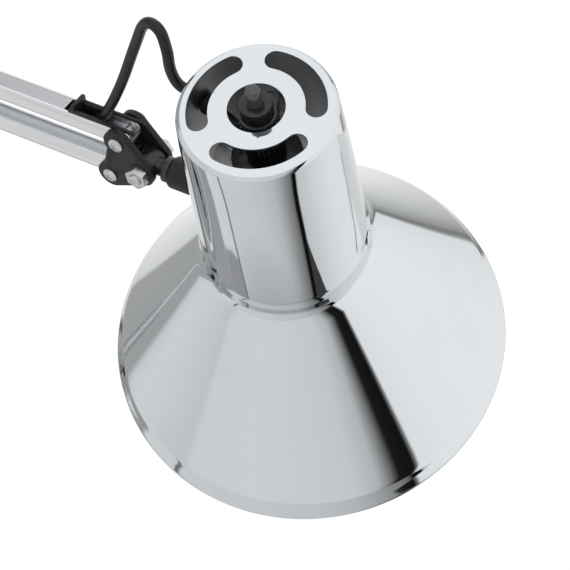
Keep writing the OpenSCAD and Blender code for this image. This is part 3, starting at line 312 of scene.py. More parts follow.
def smooth_route(points, steps):
    """A route's own points with more between them on one smooth curve."""
    points = [Vector(p) for p in points]
    last = len(points) - 1
    made = [
        curve_point(points[max(i - 1, 0)], points[i], points[i + 1], points[min(i + 2, last)], s / steps)
        for i in range(last)
        for s in range(steps)
    ]
    return made + [points[last]]


def cad_copy(part):
    """Edit mesh of a CAD node with its loose triangles merged."""
    bm = bmesh.new()
    bm.from_mesh(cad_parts[part].data)
    bmesh.ops.remove_doubles(bm, verts=bm.verts, dist=2e-6)
    return bm


def baked(made, name):
    """Plain mesh of an object with its modifiers applied; the object itself goes."""
    graph = bpy.context.evaluated_depsgraph_get()
    mesh = bpy.data.meshes.new_from_object(made.evaluated_get(graph))
    mesh.name = name
    old = made.data
    bpy.data.objects.remove(made)
    if old and old.users == 0:
        bpy.data.meshes.remove(old)
    return mesh


def eased(mesh, edge, name, angle, segments=2):
    """The mesh with its edges sharper than the angle rounded by a radius in millimetres."""
    made = added(name + "_raw", mesh)
    easing = made.modifiers.new("Eased edges", "BEVEL")
    easing.width = edge * MM
    easing.segments = segments
    easing.limit_method = "ANGLE"
    easing.angle_limit = math.radians(angle)
    result = baked(made, name)
    smooth_by_angle(result, 40)
    return result


def softened(part, name, edge, body, metal, segments=2, slot=None):
    """A copy of a CAD piece whose sharp edges are eased, so that they catch the light."""
    bm = cad_copy(part)
    flat = math.radians(0.6)
    bmesh.ops.dissolve_limit(bm, angle_limit=flat, verts=bm.verts, edges=bm.edges, delimit=set())
    mesh = eased(plain(bm, name), edge, name, CAD_SHARP, segments)
    return new_piece(name, mesh, body, metal, (part,))


def drill(r, depth, segments, place):
    """Edit mesh of a round cutter; its radius and depth are in millimetres."""
    bm = bmesh.new()
    bmesh.ops.create_cone(
        bm, cap_ends=True, segments=segments, radius1=r * MM, radius2=r * MM, depth=depth * MM, matrix=place
    )
    return bm


def cut(mesh, cutters, name):
    """The mesh with each cutter's shape taken out of it."""
    made = added(name + "_raw", mesh)
    tools = []
    for i, bm in enumerate(cutters):
        bmesh.ops.recalc_face_normals(bm, faces=bm.faces)
        tools.append(added(f"{name}_cutter_{i}", plain(bm, f"{name}_cutter_{i}")))
        step = made.modifiers.new(f"Cut {i}", "BOOLEAN")
        step.operation = "DIFFERENCE"
        step.solver = "EXACT"
        step.object = tools[-1]
    result = baked(made, name)
    for tool in tools:
        mesh = tool.data
        bpy.data.objects.remove(tool)
        bpy.data.meshes.remove(mesh)
    return result


# ------------------------------------------------------------- node helpers


def node(tree, kind, inputs=(), **settings):
    """A node of that kind; each input, by name or number, is a socket or a plain value."""
    made = tree.nodes.new(kind)
    for label, value in settings.items():
        setattr(made, label, value)
    for label, value in dict(inputs).items():
        if isinstance(value, bpy.types.NodeSocket):
            tree.links.new(value, made.inputs[label])
        else:
            made.inputs[label].default_value = value
    return made


def maths(tree, operation, *values, clamp=False):
    """A maths node's result; its inputs are sockets or numbers."""
    return node(tree, "ShaderNodeMath", enumerate(values), operation=operation, use_clamp=clamp).outputs[0]


def putting(tree):
    """node() for one tree."""
    return lambda kind, inputs=(), **settings: node(tree, kind, inputs, **settings)


def sums(tree):
    """maths() for one tree."""
    return lambda operation, *values, clamp=False: maths(tree, operation, *values, clamp=clamp)


# ---------------------------------------------------------- geometry nodes

SOCKETS = {float: "NodeSocketFloat", int: "NodeSocketInt", type(None): "NodeSocketMaterial"}


def geometry_tree(name, sizes):
    """A node tree with a named input for each size and its finish, their sockets, and its end."""
    tree = bpy.data.node_groups.new(name, "GeometryNodeTree")
    tree.interface.new_socket("Geometry", in_out="INPUT", socket_type="NodeSocketGeometry")
    for label, value in {**sizes, "Finish": None}.items():
        socket = tree.interface.new_socket(label, in_out="INPUT", socket_type=SOCKETS[type(value)])
        if value is not None:
            socket.default_value = value
    tree.interface.new_socket("Geometry", in_out="OUTPUT", socket_type="NodeSocketGeometry")
    return tree, tree.nodes.new("NodeGroupInput").outputs, tree.nodes.new("NodeGroupOutput")


def finish_tree(tree, geometry, metal, end):
    """Ends a tree in realized instances with their material, smooth shaded."""
    real = node(tree, "GeometryNodeRealizeInstances", {0: geometry})
    soft = node(tree, "GeometryNodeSetShadeSmooth", {0: real.outputs[0]})
    paint = node(tree, "GeometryNodeSetMaterial", {"Geometry": soft.outputs[0], "Material": metal})
    tree.links.new(paint.outputs[0], end.inputs[0])
    return tree


def grown(name, tree, metal, values):
    """Plain mesh that a geometry tree makes with these values and this finish."""
    made = added(name + "_raw", bpy.data.meshes.new(name))
    step = made.modifiers.new("Shape", "NODES")
    step.node_group = tree
    by_name = {s.name: s.identifier for s in tree.interface.items_tree if s.in_out == "INPUT"}
    for label, value in {**values, "Finish": finish(metal)[0]}.items():
        step[by_name[label]] = value
    return baked(made, name)


def wound_wire_tree():
    """One unbroken spring along +X: straight end, close curls, straight end."""
    tree, size, end = geometry_tree(
        "Wound wire",
        {"Length": 0.12, "Body": 0.076, "Curls": 42.0, "Coil radius": 0.0038, "Wire radius": 0.0006},
    )
    put, do = putting(tree), sums(tree)
    points_a_curl, straight = 26.0, 0.04  # the share of the points in each straight end
    steps = do("MULTIPLY", size["Curls"], points_a_curl)
    count = put("FunctionNodeFloatToInt", {0: steps}).outputs[0]
    row = put("GeometryNodeMeshLine", {"Count": count, "Offset": (0.001, 0, 0)}, mode="OFFSET")
    along = do("DIVIDE", put("GeometryNodeInputIndex").outputs[0], do("SUBTRACT", steps, 1.0))
    wound = do("DIVIDE", do("SUBTRACT", along, straight), 1 - 2 * straight, clamp=True)
    before = do("DIVIDE", along, straight, clamp=True)
    after = do("DIVIDE", do("SUBTRACT", along, 1 - straight), straight, clamp=True)
    lead = do("MULTIPLY", do("SUBTRACT", size["Length"], size["Body"]), 0.5)
    x = do("ADD", do("MULTIPLY", lead, do("ADD", before, after)), do("MULTIPLY", size["Body"], wound))
    turn = do("MULTIPLY", do("MULTIPLY", wound, size["Curls"]), 2 * math.pi)
    edge = do("MINIMUM", wound, do("SUBTRACT", 1.0, wound))
    opens = do("MULTIPLY", do("MULTIPLY", edge, size["Curls"]), 1.6, clamp=True)
    radius = do("MULTIPLY", size["Coil radius"], opens)
    y, z = (do("MULTIPLY", radius, do(way, turn)) for way in ("COSINE", "SINE"))
    place = put("ShaderNodeCombineXYZ", {0: x, 1: y, 2: z}).outputs[0]
    move = put("GeometryNodeSetPosition", {"Geometry": row.outputs[0], "Position": place})
    curve = put("GeometryNodeMeshToCurve", {0: move.outputs[0]})
    section = put("GeometryNodeCurvePrimitiveCircle", {"Resolution": 8, "Radius": size["Wire radius"]})
    tube = put(
        "GeometryNodeCurveToMesh",
        {"Curve": curve.outputs[0], "Profile Curve": section.outputs[0], "Fill Caps": True},
    )
    return finish_tree(tree, tube.outputs[0], size["Finish"], end)


def ring_of_ribs_tree():
    """Upright round ribs set in a ring about the Z axis."""
    tree, size, end = geometry_tree(
        "Ring of ribs",
        {"Count": 24, "Ring radius": 0.008, "Rib radius": 0.0006, "Foot": 0.048, "Height": 0.02},
    )
    put = putting(tree)
    ring = put("GeometryNodeMeshCircle", {"Vertices": size["Count"], "Radius": size["Ring radius"]})
    rib = put(
        "GeometryNodeMeshCylinder",
        {"Vertices": 12, "Radius": size["Rib radius"], "Depth": size["Height"]},
    )
    spread = put("GeometryNodeInstanceOnPoints", {"Points": ring.outputs[0], "Instance": rib.outputs[0]})
    middle = maths(tree, "MULTIPLY_ADD", size["Height"], 0.5, size["Foot"])
    lift = put("ShaderNodeCombineXYZ", {2: middle})
    move = put(
        "GeometryNodeTransform", {"Geometry": spread.outputs[0], "Translation": lift.outputs[0]}
    )
    return finish_tree(tree, move.outputs[0], size["Finish"], end)


# --------------------------------------------------------------- materials


def shader_group(name, inputs, outputs):
    """An empty shader node group with named number sockets."""
    group = bpy.data.node_groups.new(name, "ShaderNodeTree")
    for label, value in inputs.items():
        socket = group.interface.new_socket(label, in_out="INPUT", socket_type="NodeSocketFloat")
        socket.default_value = value
    for label in outputs:
        group.interface.new_socket(label, in_out="OUTPUT", socket_type="NodeSocketFloat")
    return group, group.nodes.new("NodeGroupInput").outputs, group.nodes.new("NodeGroupOutput").inputs


def noise(tree, vector, scale, detail=2.0, roughness=0.5):
    """A noise texture; scale may be a socket."""
    inputs = {"Vector": vector, "Scale": scale, "Detail": detail, "Roughness": roughness}
    return node(tree, "ShaderNodeTexNoise", inputs).outputs[0]


def spread_out(tree, value, low, high, to_low=0.0, to_high=1.0):
    """Maps a range of a value to another range, clamped."""
    inputs = {"Value": value, "From Min": low, "From Max": high, "To Min": to_low, "To Max": to_high}
    return node(tree, "ShaderNodeMapRange", inputs).outputs[0]


def object_place(tree):
    """Object coordinates."""
    return tree.nodes.new("ShaderNodeTexCoord").outputs["Object"]


def fine_grain_group():
    """Moulded or cast grain: a small height and a slow mottle."""
    group, start, end = shader_group(
        "Fine grain", {"Scale": 900.0, "Mottle scale": 60.0}, ("Height", "Mottle")
    )
    place = object_place(group)
    group.links.new(noise(group, place, start["Scale"], 3.0, 0.6), end["Height"])
    group.links.new(noise(group, place, start["Mottle scale"], 3.0), end["Mottle"])
    return group


def drawn_lines_group():
    """Fine lines drawn along one way, for rolled or brushed metal."""
    stretch = {"Along X": 8.0, "Along Y": 900.0, "Along Z": 900.0}
    group, start, end = shader_group("Drawn lines", stretch, ("Lines",))
    parts = node(group, "ShaderNodeSeparateXYZ", {0: object_place(group)}).outputs
    drawn = {i: maths(group, "MULTIPLY", parts[i], start[label]) for i, label in enumerate(stretch)}
    joined = node(group, "ShaderNodeCombineXYZ", drawn).outputs[0]
    group.links.new(noise(group, joined, 1.0, 2.0, 0.6), end["Lines"])
    return group


def handling_group():
    """Faint smudges and hairlines left by handling a polished surface."""
    group, start, end = shader_group(
        "Handling marks", {"Smudge scale": 28.0, "Hairline scale": 260.0}, ("Smudge", "Hairline")
    )
    place = object_place(group)
    smudge = noise(group, place, start["Smudge scale"], 4.0, 0.55)
    group.links.new(spread_out(group, smudge, 0.52, 0.78), end["Smudge"])
    bent = node(group, "ShaderNodeVectorMath", {0: place, 1: (1.0, 0.12, 0.9)}, operation="MULTIPLY")
    fine = noise(group, bent.outputs[0], start["Hairline scale"], 1.0, 0.4)
    away = maths(group, "ABSOLUTE", maths(group, "SUBTRACT", fine, 0.5))
    group.links.new(spread_out(group, away, 0.0, 0.012, 1.0, 0.0), end["Hairline"])
    return group


def worn_edges_group():
    """Where an edge stands out enough to be rubbed bright."""
    group, start, end = shader_group("Worn edges", {"Sharpness": 0.56, "Break-up scale": 320.0}, ("Wear",))
    point = node(group, "ShaderNodeNewGeometry").outputs["Pointiness"]
    high = maths(group, "ADD", start["Sharpness"], 0.08)
    edge = spread_out(group, point, start["Sharpness"], high)
    patches = noise(group, object_place(group), start["Break-up scale"], 3.0)
    broken = spread_out(group, patches, 0.45, 0.6)
    group.links.new(maths(group, "MULTIPLY", edge, broken), end["Wear"])
    return group


EFFECTS = {
    "Fine grain": fine_grain_group,
    "Drawn lines": drawn_lines_group,
    "Handling marks": handling_group,
    "Worn edges": worn_edges_group,
}
GROUPS = {}


def effect(tree, name, *values):
    """Places a shared group, built when first wanted, in a material with its own first values."""
    if name not in GROUPS:
        GROUPS[name] = EFFECTS[name]()
    return node(tree, "ShaderNodeGroup", enumerate(values), node_tree=GROUPS[name]).outputs


def new_finish(name, colour, metallic, roughness, more=()):
    """A material, its tree and its Principled shader."""
    material = bpy.data.materials.new(name)
    material.use_nodes = True
    material.diffuse_color = (*colour, 1.0)
    shader = material.node_tree.nodes["Principled BSDF"]
    plain_values = {"Base Color": (*colour, 1.0), "Metallic": metallic, "Roughness": roughness}
    for label, value in {**plain_values, **dict(more)}.items():
        shader.inputs[label].default_value = value
    return material, material.node_tree, shader


def surfaced(tree, shader, rough, height=None, strength=0.0, distance=0.0):
    """Feeds a roughness to the shader, and a height through a Bump node to its normal."""
    tree.links.new(rough, shader.inputs["Roughness"])
    if height:
        inputs = {"Height": height, "Strength": strength, "Distance": distance}
        tree.links.new(node(tree, "ShaderNodeBump", inputs).outputs[0], shader.inputs["Normal"])


def tinted(tree, shader, mask, dark, light):
    """Feeds a mix of two colours to the shader's base colour."""
    mix = node(tree, "ShaderNodeMix", data_type="RGBA")
    tree.links.new(mask, mix.inputs[0])
    mix.inputs[6].default_value = (*dark, 1.0)
    mix.inputs[7].default_value = (*light, 1.0)
    tree.links.new(mix.outputs[2], shader.inputs["Base Color"])


def scaled(colour, k, more=0.0):
    """The colour made lighter or darker."""
    return tuple(min(1.0, x * k + more) for x in colour)


def plated_metal(name, colour, polish):
    """Bright plated sheet: a mirror with faint smudges and hairlines."""
    material, tree, shader = new_finish(name, colour, 1.0, polish)
    do = sums(tree)
    marks = effect(tree, "Handling marks", 22.0)
    smudged = do("MULTIPLY_ADD", marks["Smudge"], 0.03, polish)
    rough = do("ADD", smudged, do("MULTIPLY", marks["Hairline"], 0.02))
    tinted(tree, shader, marks["Smudge"], colour, scaled(colour, 0.965))
    surfaced(tree, shader, rough, effect(tree, "Fine grain", 45.0, 9.0)["Mottle"], 0.05, 0.0004)
    return material


def satin_metal(name, colour, roughness, stretch, depth=0.12):
    """Satin steel with fine lines drawn along it."""
    material, tree, shader = new_finish(name, colour, 1.0, roughness)
    do = sums(tree)
    lines = effect(tree, "Drawn lines", *stretch)["Lines"]
    smudge = effect(tree, "Handling marks", 40.0)["Smudge"]
    tinted(tree, shader, lines, scaled(colour, 0.9), scaled(colour, 1.06))
    rough = do("MULTIPLY_ADD", smudge, 0.05, do("MULTIPLY_ADD", lines, 0.14, roughness - 0.07))
    surfaced(tree, shader, rough, lines, depth, 0.0001)
    return material


def zinc_metal(name, colour, roughness):
    """Zinc plated steel: cool grey with a faint mottle."""
    material, tree, shader = new_finish(name, colour, 1.0, roughness)
    grain = effect(tree, "Fine grain", 1800.0, 420.0)
    wear = effect(tree, "Worn edges", 0.54)["Wear"]
    mask = maths(tree, "MAXIMUM", spread_out(tree, grain["Mottle"], 0.35, 0.65), wear)
    tinted(tree, shader, mask, scaled(colour, 0.86), scaled(colour, 1.1))
    rough = maths(tree, "MULTIPLY_ADD", grain["Height"], 0.16, roughness - 0.08)
    surfaced(tree, shader, rough, grain["Height"], 0.1, 0.00006)
    return material


def moulded_plastic(name, colour, roughness, grain_scale=1500.0, depth=0.25, shine=0.3):
    """Moulded plastic: fine spark grain, rubbed a little on its edges."""
    material, tree, shader = new_finish(name, colour, 0.0, roughness, {"Specular IOR Level": shine})
    do = sums(tree)
    grain = effect(tree, "Fine grain", grain_scale, 120.0)
    wear = effect(tree, "Worn edges", 0.57)["Wear"]
    mask = do("MULTIPLY_ADD", wear, 0.6, do("MULTIPLY", grain["Mottle"], 0.35))
    tinted(tree, shader, mask, colour, scaled(colour, 1.7, 0.006))
    rough = do("MULTIPLY_ADD", wear, -0.12, do("MULTIPLY_ADD", grain["Mottle"], 0.16, roughness - 0.08))
    surfaced(tree, shader, rough, grain["Height"], depth, 0.00008)
    return material


def black_enamel(name, colour):
    """Stove enamel on steel: satin black with a slight orange peel."""
    coat = {"Coat Weight": 0.25, "Coat Roughness": 0.25}
    material, tree, shader = new_finish(name, colour, 0.0, 0.3, coat)
    grain = effect(tree, "Fine grain", 520.0, 60.0)
    tinted(tree, shader, effect(tree, "Worn edges", 0.56)["Wear"], colour, (0.09, 0.09, 0.095))
    rough = maths(tree, "MULTIPLY_ADD", grain["Mottle"], 0.12, 0.25)
    surfaced(tree, shader, rough, grain["Height"], 0.12, 0.00012)
    return material


def flex_sheath(name, colour):
    """Round flex: smooth black sheath with a soft shine and faint scuffs."""
    material, tree, shader = new_finish(name, colour, 0.0, 0.4, {"Specular IOR Level": 0.32})
    grain = effect(tree, "Fine grain", 1100.0, 150.0)
    tinted(tree, shader, effect(tree, "Handling marks", 120.0)["Smudge"], colour, scaled(colour, 1.9, 0.004))
    rough = maths(tree, "MULTIPLY_ADD", grain["Mottle"], 0.14, 0.2)
    surfaced(tree, shader, rough, grain["Height"], 0.12, 0.00006)
    return material


def soft_rubber(name, colour):
    """Matte rubber with a dusty grain."""
    material, tree, shader = new_finish(name, colour, 0.0, 0.75)
    grain = effect(tree, "Fine grain", 900.0, 80.0)
    tinted(tree, shader, grain["Mottle"], colour, scaled(colour, 1.6, 0.01))
    rough = spread_out(tree, grain["Height"], 0.3, 0.7, 0.66, 0.86)
    surfaced(tree, shader, rough, grain["Height"], 0.3, 0.0001)
    return material


def cast_metal(name, colour):
    """Rough cast iron."""
    material, tree, shader = new_finish(name, colour, 0.7, 0.7)
    grain = effect(tree, "Fine grain", 420.0, 35.0)
    tinted(tree, shader, grain["Mottle"], scaled(colour, 0.7), scaled(colour, 1.4))
    rough = spread_out(tree, grain["Height"], 0.3, 0.7, 0.6, 0.85)
    surfaced(tree, shader, rough, grain["Height"], 0.6, 0.0004)
    return material


def pearl_glass(name):
    """White pearl glass of the bulb: milky, smooth and a little see-through."""
    milk = {"Subsurface Weight": 0.2, "Subsurface Radius": (0.004, 0.004, 0.003)}
    milk["Transmission Weight"] = 0.25
    material, tree, shader = new_finish(name, (0.93, 0.925, 0.9), 0.0, 0.16, milk)
    mottle = effect(tree, "Fine grain", 300.0, 25.0)["Mottle"]
    tinted(tree, shader, mottle, (0.9, 0.895, 0.865), (0.96, 0.955, 0.94))
    surfaced(tree, shader, maths(tree, "MULTIPLY_ADD", mottle, 0.08, 0.12))
    return material


def finishes():
    """Each finish: its material slot, what makes it, its name and its values."""
    head, arm = bpy.context.scene.lamp_head, bpy.context.scene.lamp_arm
    bar, black = tuple(arm.bar_tint), tuple(arm.plate_tint)
    chrome, steel, plastic = "bright_chrome", "bar_steel", "moulded_black"
    flat, upright = (14.0, 1500.0, 700.0), (900.0, 1500.0, 14.0)
    even, round_z, along_x = (900.0, 900.0, 900.0), (600.0, 600.0, 90.0), (60.0, 900.0, 900.0)
    inner, moulded, satin = (220.0, 220.0, 1400.0), moulded_plastic, satin_metal
    return {
        "bright": (chrome, plated_metal, "Plated bright metal", tuple(head.tint), head.polish),
        "inner": (chrome, satin, "Dull inner steel", (0.42, 0.425, 0.43), 0.42, inner, 0.3),
        "bar": (steel, satin, "Satin bar steel", bar, 0.3, flat),
        # painted shade: the upper bar's closed top is a darker copy of the bar steel
        "bar top": (steel, satin, "Satin bar top", (0.57, 0.58, 0.595), 0.24, flat),
        "lower bar": (steel, satin, "Satin bar steel upright", bar, 0.3, upright),
        "spring": ("spring_steel", satin, "Spring wire", (0.7, 0.71, 0.725), 0.26, even, 0.05),
        "zinc": ("zinc_steel", zinc_metal, "Zinc plate", (0.66, 0.67, 0.665), 0.34),
        "moulded": (plastic, moulded, "Black moulding", black, 0.34),
        "fine moulded": (plastic, moulded, "Fine black moulding", black, 0.24, 2200.0, 0.1, 0.5),
        "holder": (plastic, moulded, "Holder moulding", (0.02, 0.021, 0.023), 0.3, 1800.0, 0.1, 0.5),
        # partly painted highlight: the button's lighter base colour stands in for the sheen on its top, while
        # its gloss and shine are its own
        "button": (plastic, moulded, "Button moulding", (0.03, 0.031, 0.034), 0.15, 2200.0, 0.04, 0.8),
        "ivory": ("bush_plastic", moulded, "Ivory bush", (0.62, 0.59, 0.5), 0.45),
        "enamel": ("black_steel", black_enamel, "Black enamel", (0.008, 0.0085, 0.0095)),
        "flex": ("flex_black", flex_sheath, "Flex sheath", tuple(arm.cord_tint)),
        "rubber": ("black_rubber", soft_rubber, "Soft rubber", (0.014, 0.014, 0.015)),
        "iron": ("weight_iron", cast_metal, "Cast iron", (0.16, 0.16, 0.17)),
        "brass": ("pin_brass", satin, "Nickelled brass", (0.8, 0.72, 0.5), 0.25, along_x),
        "aluminium": ("cap_aluminium", satin, "Thin aluminium", (0.78, 0.78, 0.78), 0.3, round_z),
        "pearl": ("bulb_glass", pearl_glass, "Pearl glass"),
    }


FINISHES = {}


def finish(name):
    """One of the lamp's finishes, made when first wanted, and its material slot."""
    if name not in FINISHES:
        slot, make, *values = finishes()[name]
        FINISHES[name] = (make(*values), slot)
    return FINISHES[name]


# ------------------------------------------------------------------ routes


def arm_point(foot, degrees, x, z):
    """A point along and across an arm, in millimetres."""
    c, s = math.cos(math.radians(degrees)), math.sin(math.radians(degrees))
    return (foot[0] + x * c - z * s, 0.0, foot[1] + x * s + z * c)


def off(p, d):
    """A point off a pivot by a step, in millimetres."""
    return (p[0] + d[0], d[1], p[1] + d[2])


LOWER_ALONG = Vector((math.cos(math.radians(LEAN)), 0, math.sin(math.radians(LEAN))))
UPPER_ALONG = Vector((1, 0, 0))
RELIEF_END = (-122.0, 0.0, 6.25)
GROMMET_ANGLE = math.radians(165)
GROMMET_Z = 57.0
GROMMET_R = housing_radius(GROMMET_Z)


def grommet_axis(r):
    """A point on the grommet's axis, in metres."""
    return HEAD @ millimetres((r * math.cos(GROMMET_ANGLE), r * math.sin(GROMMET_ANGLE), GROMMET_Z))


INWARD = (grommet_axis(0) - grommet_axis(1)).normalized()
GROMMET_OUT = grommet_axis(GROMMET_R + 4.0)

TURRET_ROUTE = [
    (0, 0, FOOT_TOP),
    (0, 0, FOOT_TOP + 5),
    (-2, 0, FOOT_TOP + 14),
    (-4.5, 0, FOOT_TOP + 24),
    off(LOWER_MAIN_FOOT, (-12.5, 0, 0)),
    off(LOWER_MAIN_FOOT, (-10.5, 0, 9)),
    off(LOWER_MAIN_FOOT, (-5.5, 0, 17)),
    arm_point(LOWER_MAIN_FOOT, LEAN, GUIDE_FAR, CORD_IN_BAR_Z),
]
ELBOW_ROUTE = [
    arm_point(ELBOW_MAIN, LEAN, -GUIDE_FAR, CORD_IN_BAR_Z),
    arm_point(ELBOW_MAIN, LEAN, -GUIDE_FAR + 8, CORD_IN_BAR_Z + 2),
    arm_point(ELBOW_MAIN, LEAN, -GUIDE_FAR + 15, CORD_IN_BAR_Z + 7),
    off(ELBOW_MAIN, (-17, 0, 4)),
    off(ELBOW_MAIN, (-25, 0, 24)),
    off(ELBOW_MAIN, (-26, 0, 46)),
    off(ELBOW_MAIN, (-17, 0, 68)),
    off(ELBOW_MAIN, (-2, 0, 84)),
    off(ELBOW_MAIN, (17, 0, 89)),
    off(ELBOW_MAIN, (33, 0, 82)),
    off(ELBOW_MAIN, (42, 0, 70)),
    arm_point(UPPER_MAIN_FOOT, 0, GUIDE_FAR - 9, CORD_IN_BAR_Z + 7),
    arm_point(UPPER_MAIN_FOOT, 0, GUIDE_FAR, CORD_IN_BAR_Z),
]
ELBOW_SPLIT = 7
HEAD_ROUTE = [
    arm_point(HEAD_MAIN, 0, -GUIDE_FAR, CORD_IN_BAR_Z),
    arm_point(HEAD_MAIN, 0, -GUIDE_FAR + 7, CORD_IN_BAR_Z + 2),
    arm_point(HEAD_MAIN, 0, -GUIDE_FAR + 13, CORD_IN_BAR_Z + 7.5),
    off(TILT_PIVOT, (-18, 0, 29)),
    off(TILT_PIVOT, (-12.5, 0, 40)),
    off(TILT_PIVOT, (-8, 0, 50)),
    off(TILT_PIVOT, (-4, 0, 60)),
    off(TILT_PIVOT, (1.5, -0.5, 73)),
    off(TILT_PIVOT, (7, -2.5, 84)),
    off(TILT_PIVOT, (12.5, -4.5, 89)),
    off(TILT_PIVOT, (18.5, -6.5, 88)),
    off(TILT_PIVOT, (21.5, -7.5, 80)),
    off(TILT_PIVOT, (22, -7, 70)),
    off(TILT_PIVOT, (24, -5, 61.5)),
    tuple((GROMMET_OUT - 0.0035 * INWARD) / MM),
    tuple(GROMMET_OUT / MM),
]
HEAD_SPLIT_A, HEAD_SPLIT_B = 6, 11
LEAD_ROUTE = [RELIEF_END, (-128, 0, 6.25), (-138, 0, 4), (-150, 0, CORD_R), (-177, 0, CORD_R)]
COIL_AT = (-182.0, 39.4)
COIL_TURNS, COIL_PITCH, COIL_OUT = 4, 5.6, 39.4
ROUTE_STEPS = 8


def coil_points(per_turn):
    """The stored coil: in for four turns, up a layer, and out again, in millimetres."""
    total = 2 * COIL_TURNS + 0.25
    points = []
    for i in range(int(total * per_turn) + 1):
        turn = i / per_turn
        r = COIL_OUT - min(turn, total - turn) * COIL_PITCH
        rise = COIL_PITCH * min(1, max(0, (2 * turn - total + 0.5)))
        a = math.radians(-90 - 360 * turn)
        points.append((COIL_AT[0] + r * math.cos(a), COIL_AT[1] + r * math.sin(a), CORD_R + rise))
    return points


# the photo's own view: the camera's place in metres, and its right, up and back
CAMERA_AT = (0.60240, -0.31246, 0.88932)
CAMERA_AXES = ((0.88738, 0.46104, 0.0), (-0.35603, 0.68526, 0.63535), (0.29292, -0.56379, 0.77223))

# The studio round the lamp, which only mirror-like surfaces show. Its wall and floor stand
# round the head and change brightness with the azimuth, in degrees; strips on the floor
# darken single places.
WALL_AWAY, WALL_SHIFT, WALL_TOP, WALL_SIDES = 0.72, 0.18, 1.0, 96
WALL_TONES = (
    (-180, 0.4), (-171.5, 0.4), (-168, 0.7), (-160, 0.76), (-145, 0.73), (-125, 0.66), (-121, 0.75),
    (-90, 0.76), (-65, 0.73), (-45, 0.69), (-35, 0.55), (-29.5, 0.22), (-25.8, 0.012), (-17.2, 0.006),
    (-15.5, 0.89), (0, 0.94), (20, 0.965), (50, 0.96), (66, 0.92), (77.5, 0.84), (79.2, 0.14), (81.5, 0.34),
    (86, 0.52), (93, 0.68), (104, 0.84), (130, 0.98), (137, 0.86), (155.5, 0.73), (157.5, 0.4), (180, 0.4),
)
FLOOR_TONES = (
    (-180, 0.36), (-154, 0.36), (-151.5, 0.76), (-131.5, 0.73), (-130.7, 0.08), (-129.6, 0.08),
    (-128.8, 0.71), (-88, 0.69), (-60, 0.64), (-45, 0.57), (-36, 0.46), (-28, 0.32), (-19, 0.17),
    (-17.5, 0.005), (-12.5, 0.005), (-11, 0.65), (0, 0.7), (14, 0.8), (35, 0.88), (60, 0.88), (62, 0.72),
    (75, 0.72), (95, 0.82), (112, 0.92), (158, 0.7), (161.5, 0.12), (163.5, 0.12), (165, 0.38), (180, 0.36),
)
# name, brightness, and the corners of a strip on the floor, in metres
STRIPS = (
    ("Grey lobe", 0.33, ((0.162, -0.141), (0.213, -0.183), (0.261, -0.204), (0.359, -0.09), (0.331, -0.054))),
    ("Black wedge", 0.05, ((0.817, -0.089), (0.801, -0.032), (0.785, 0.012), (0.768, 0.038), (0.637, 0.021),
                           (0.629, -0.045))),
    ("Thin line", 0.03, ((0.77, 0.639), (0.753, 0.557), (0.765, 0.467), (0.779, 0.392), (0.785, 0.392),
                         (0.771, 0.467), (0.76, 0.557), (0.777, 0.639))),
    ("Second line", 0.06, ((0.79, 0.62), (0.772, 0.55), (0.782, 0.467), (0.785, 0.467), (0.776, 0.55),
                           (0.794, 0.62))),
)

# --------------------------------------------------------------- operators


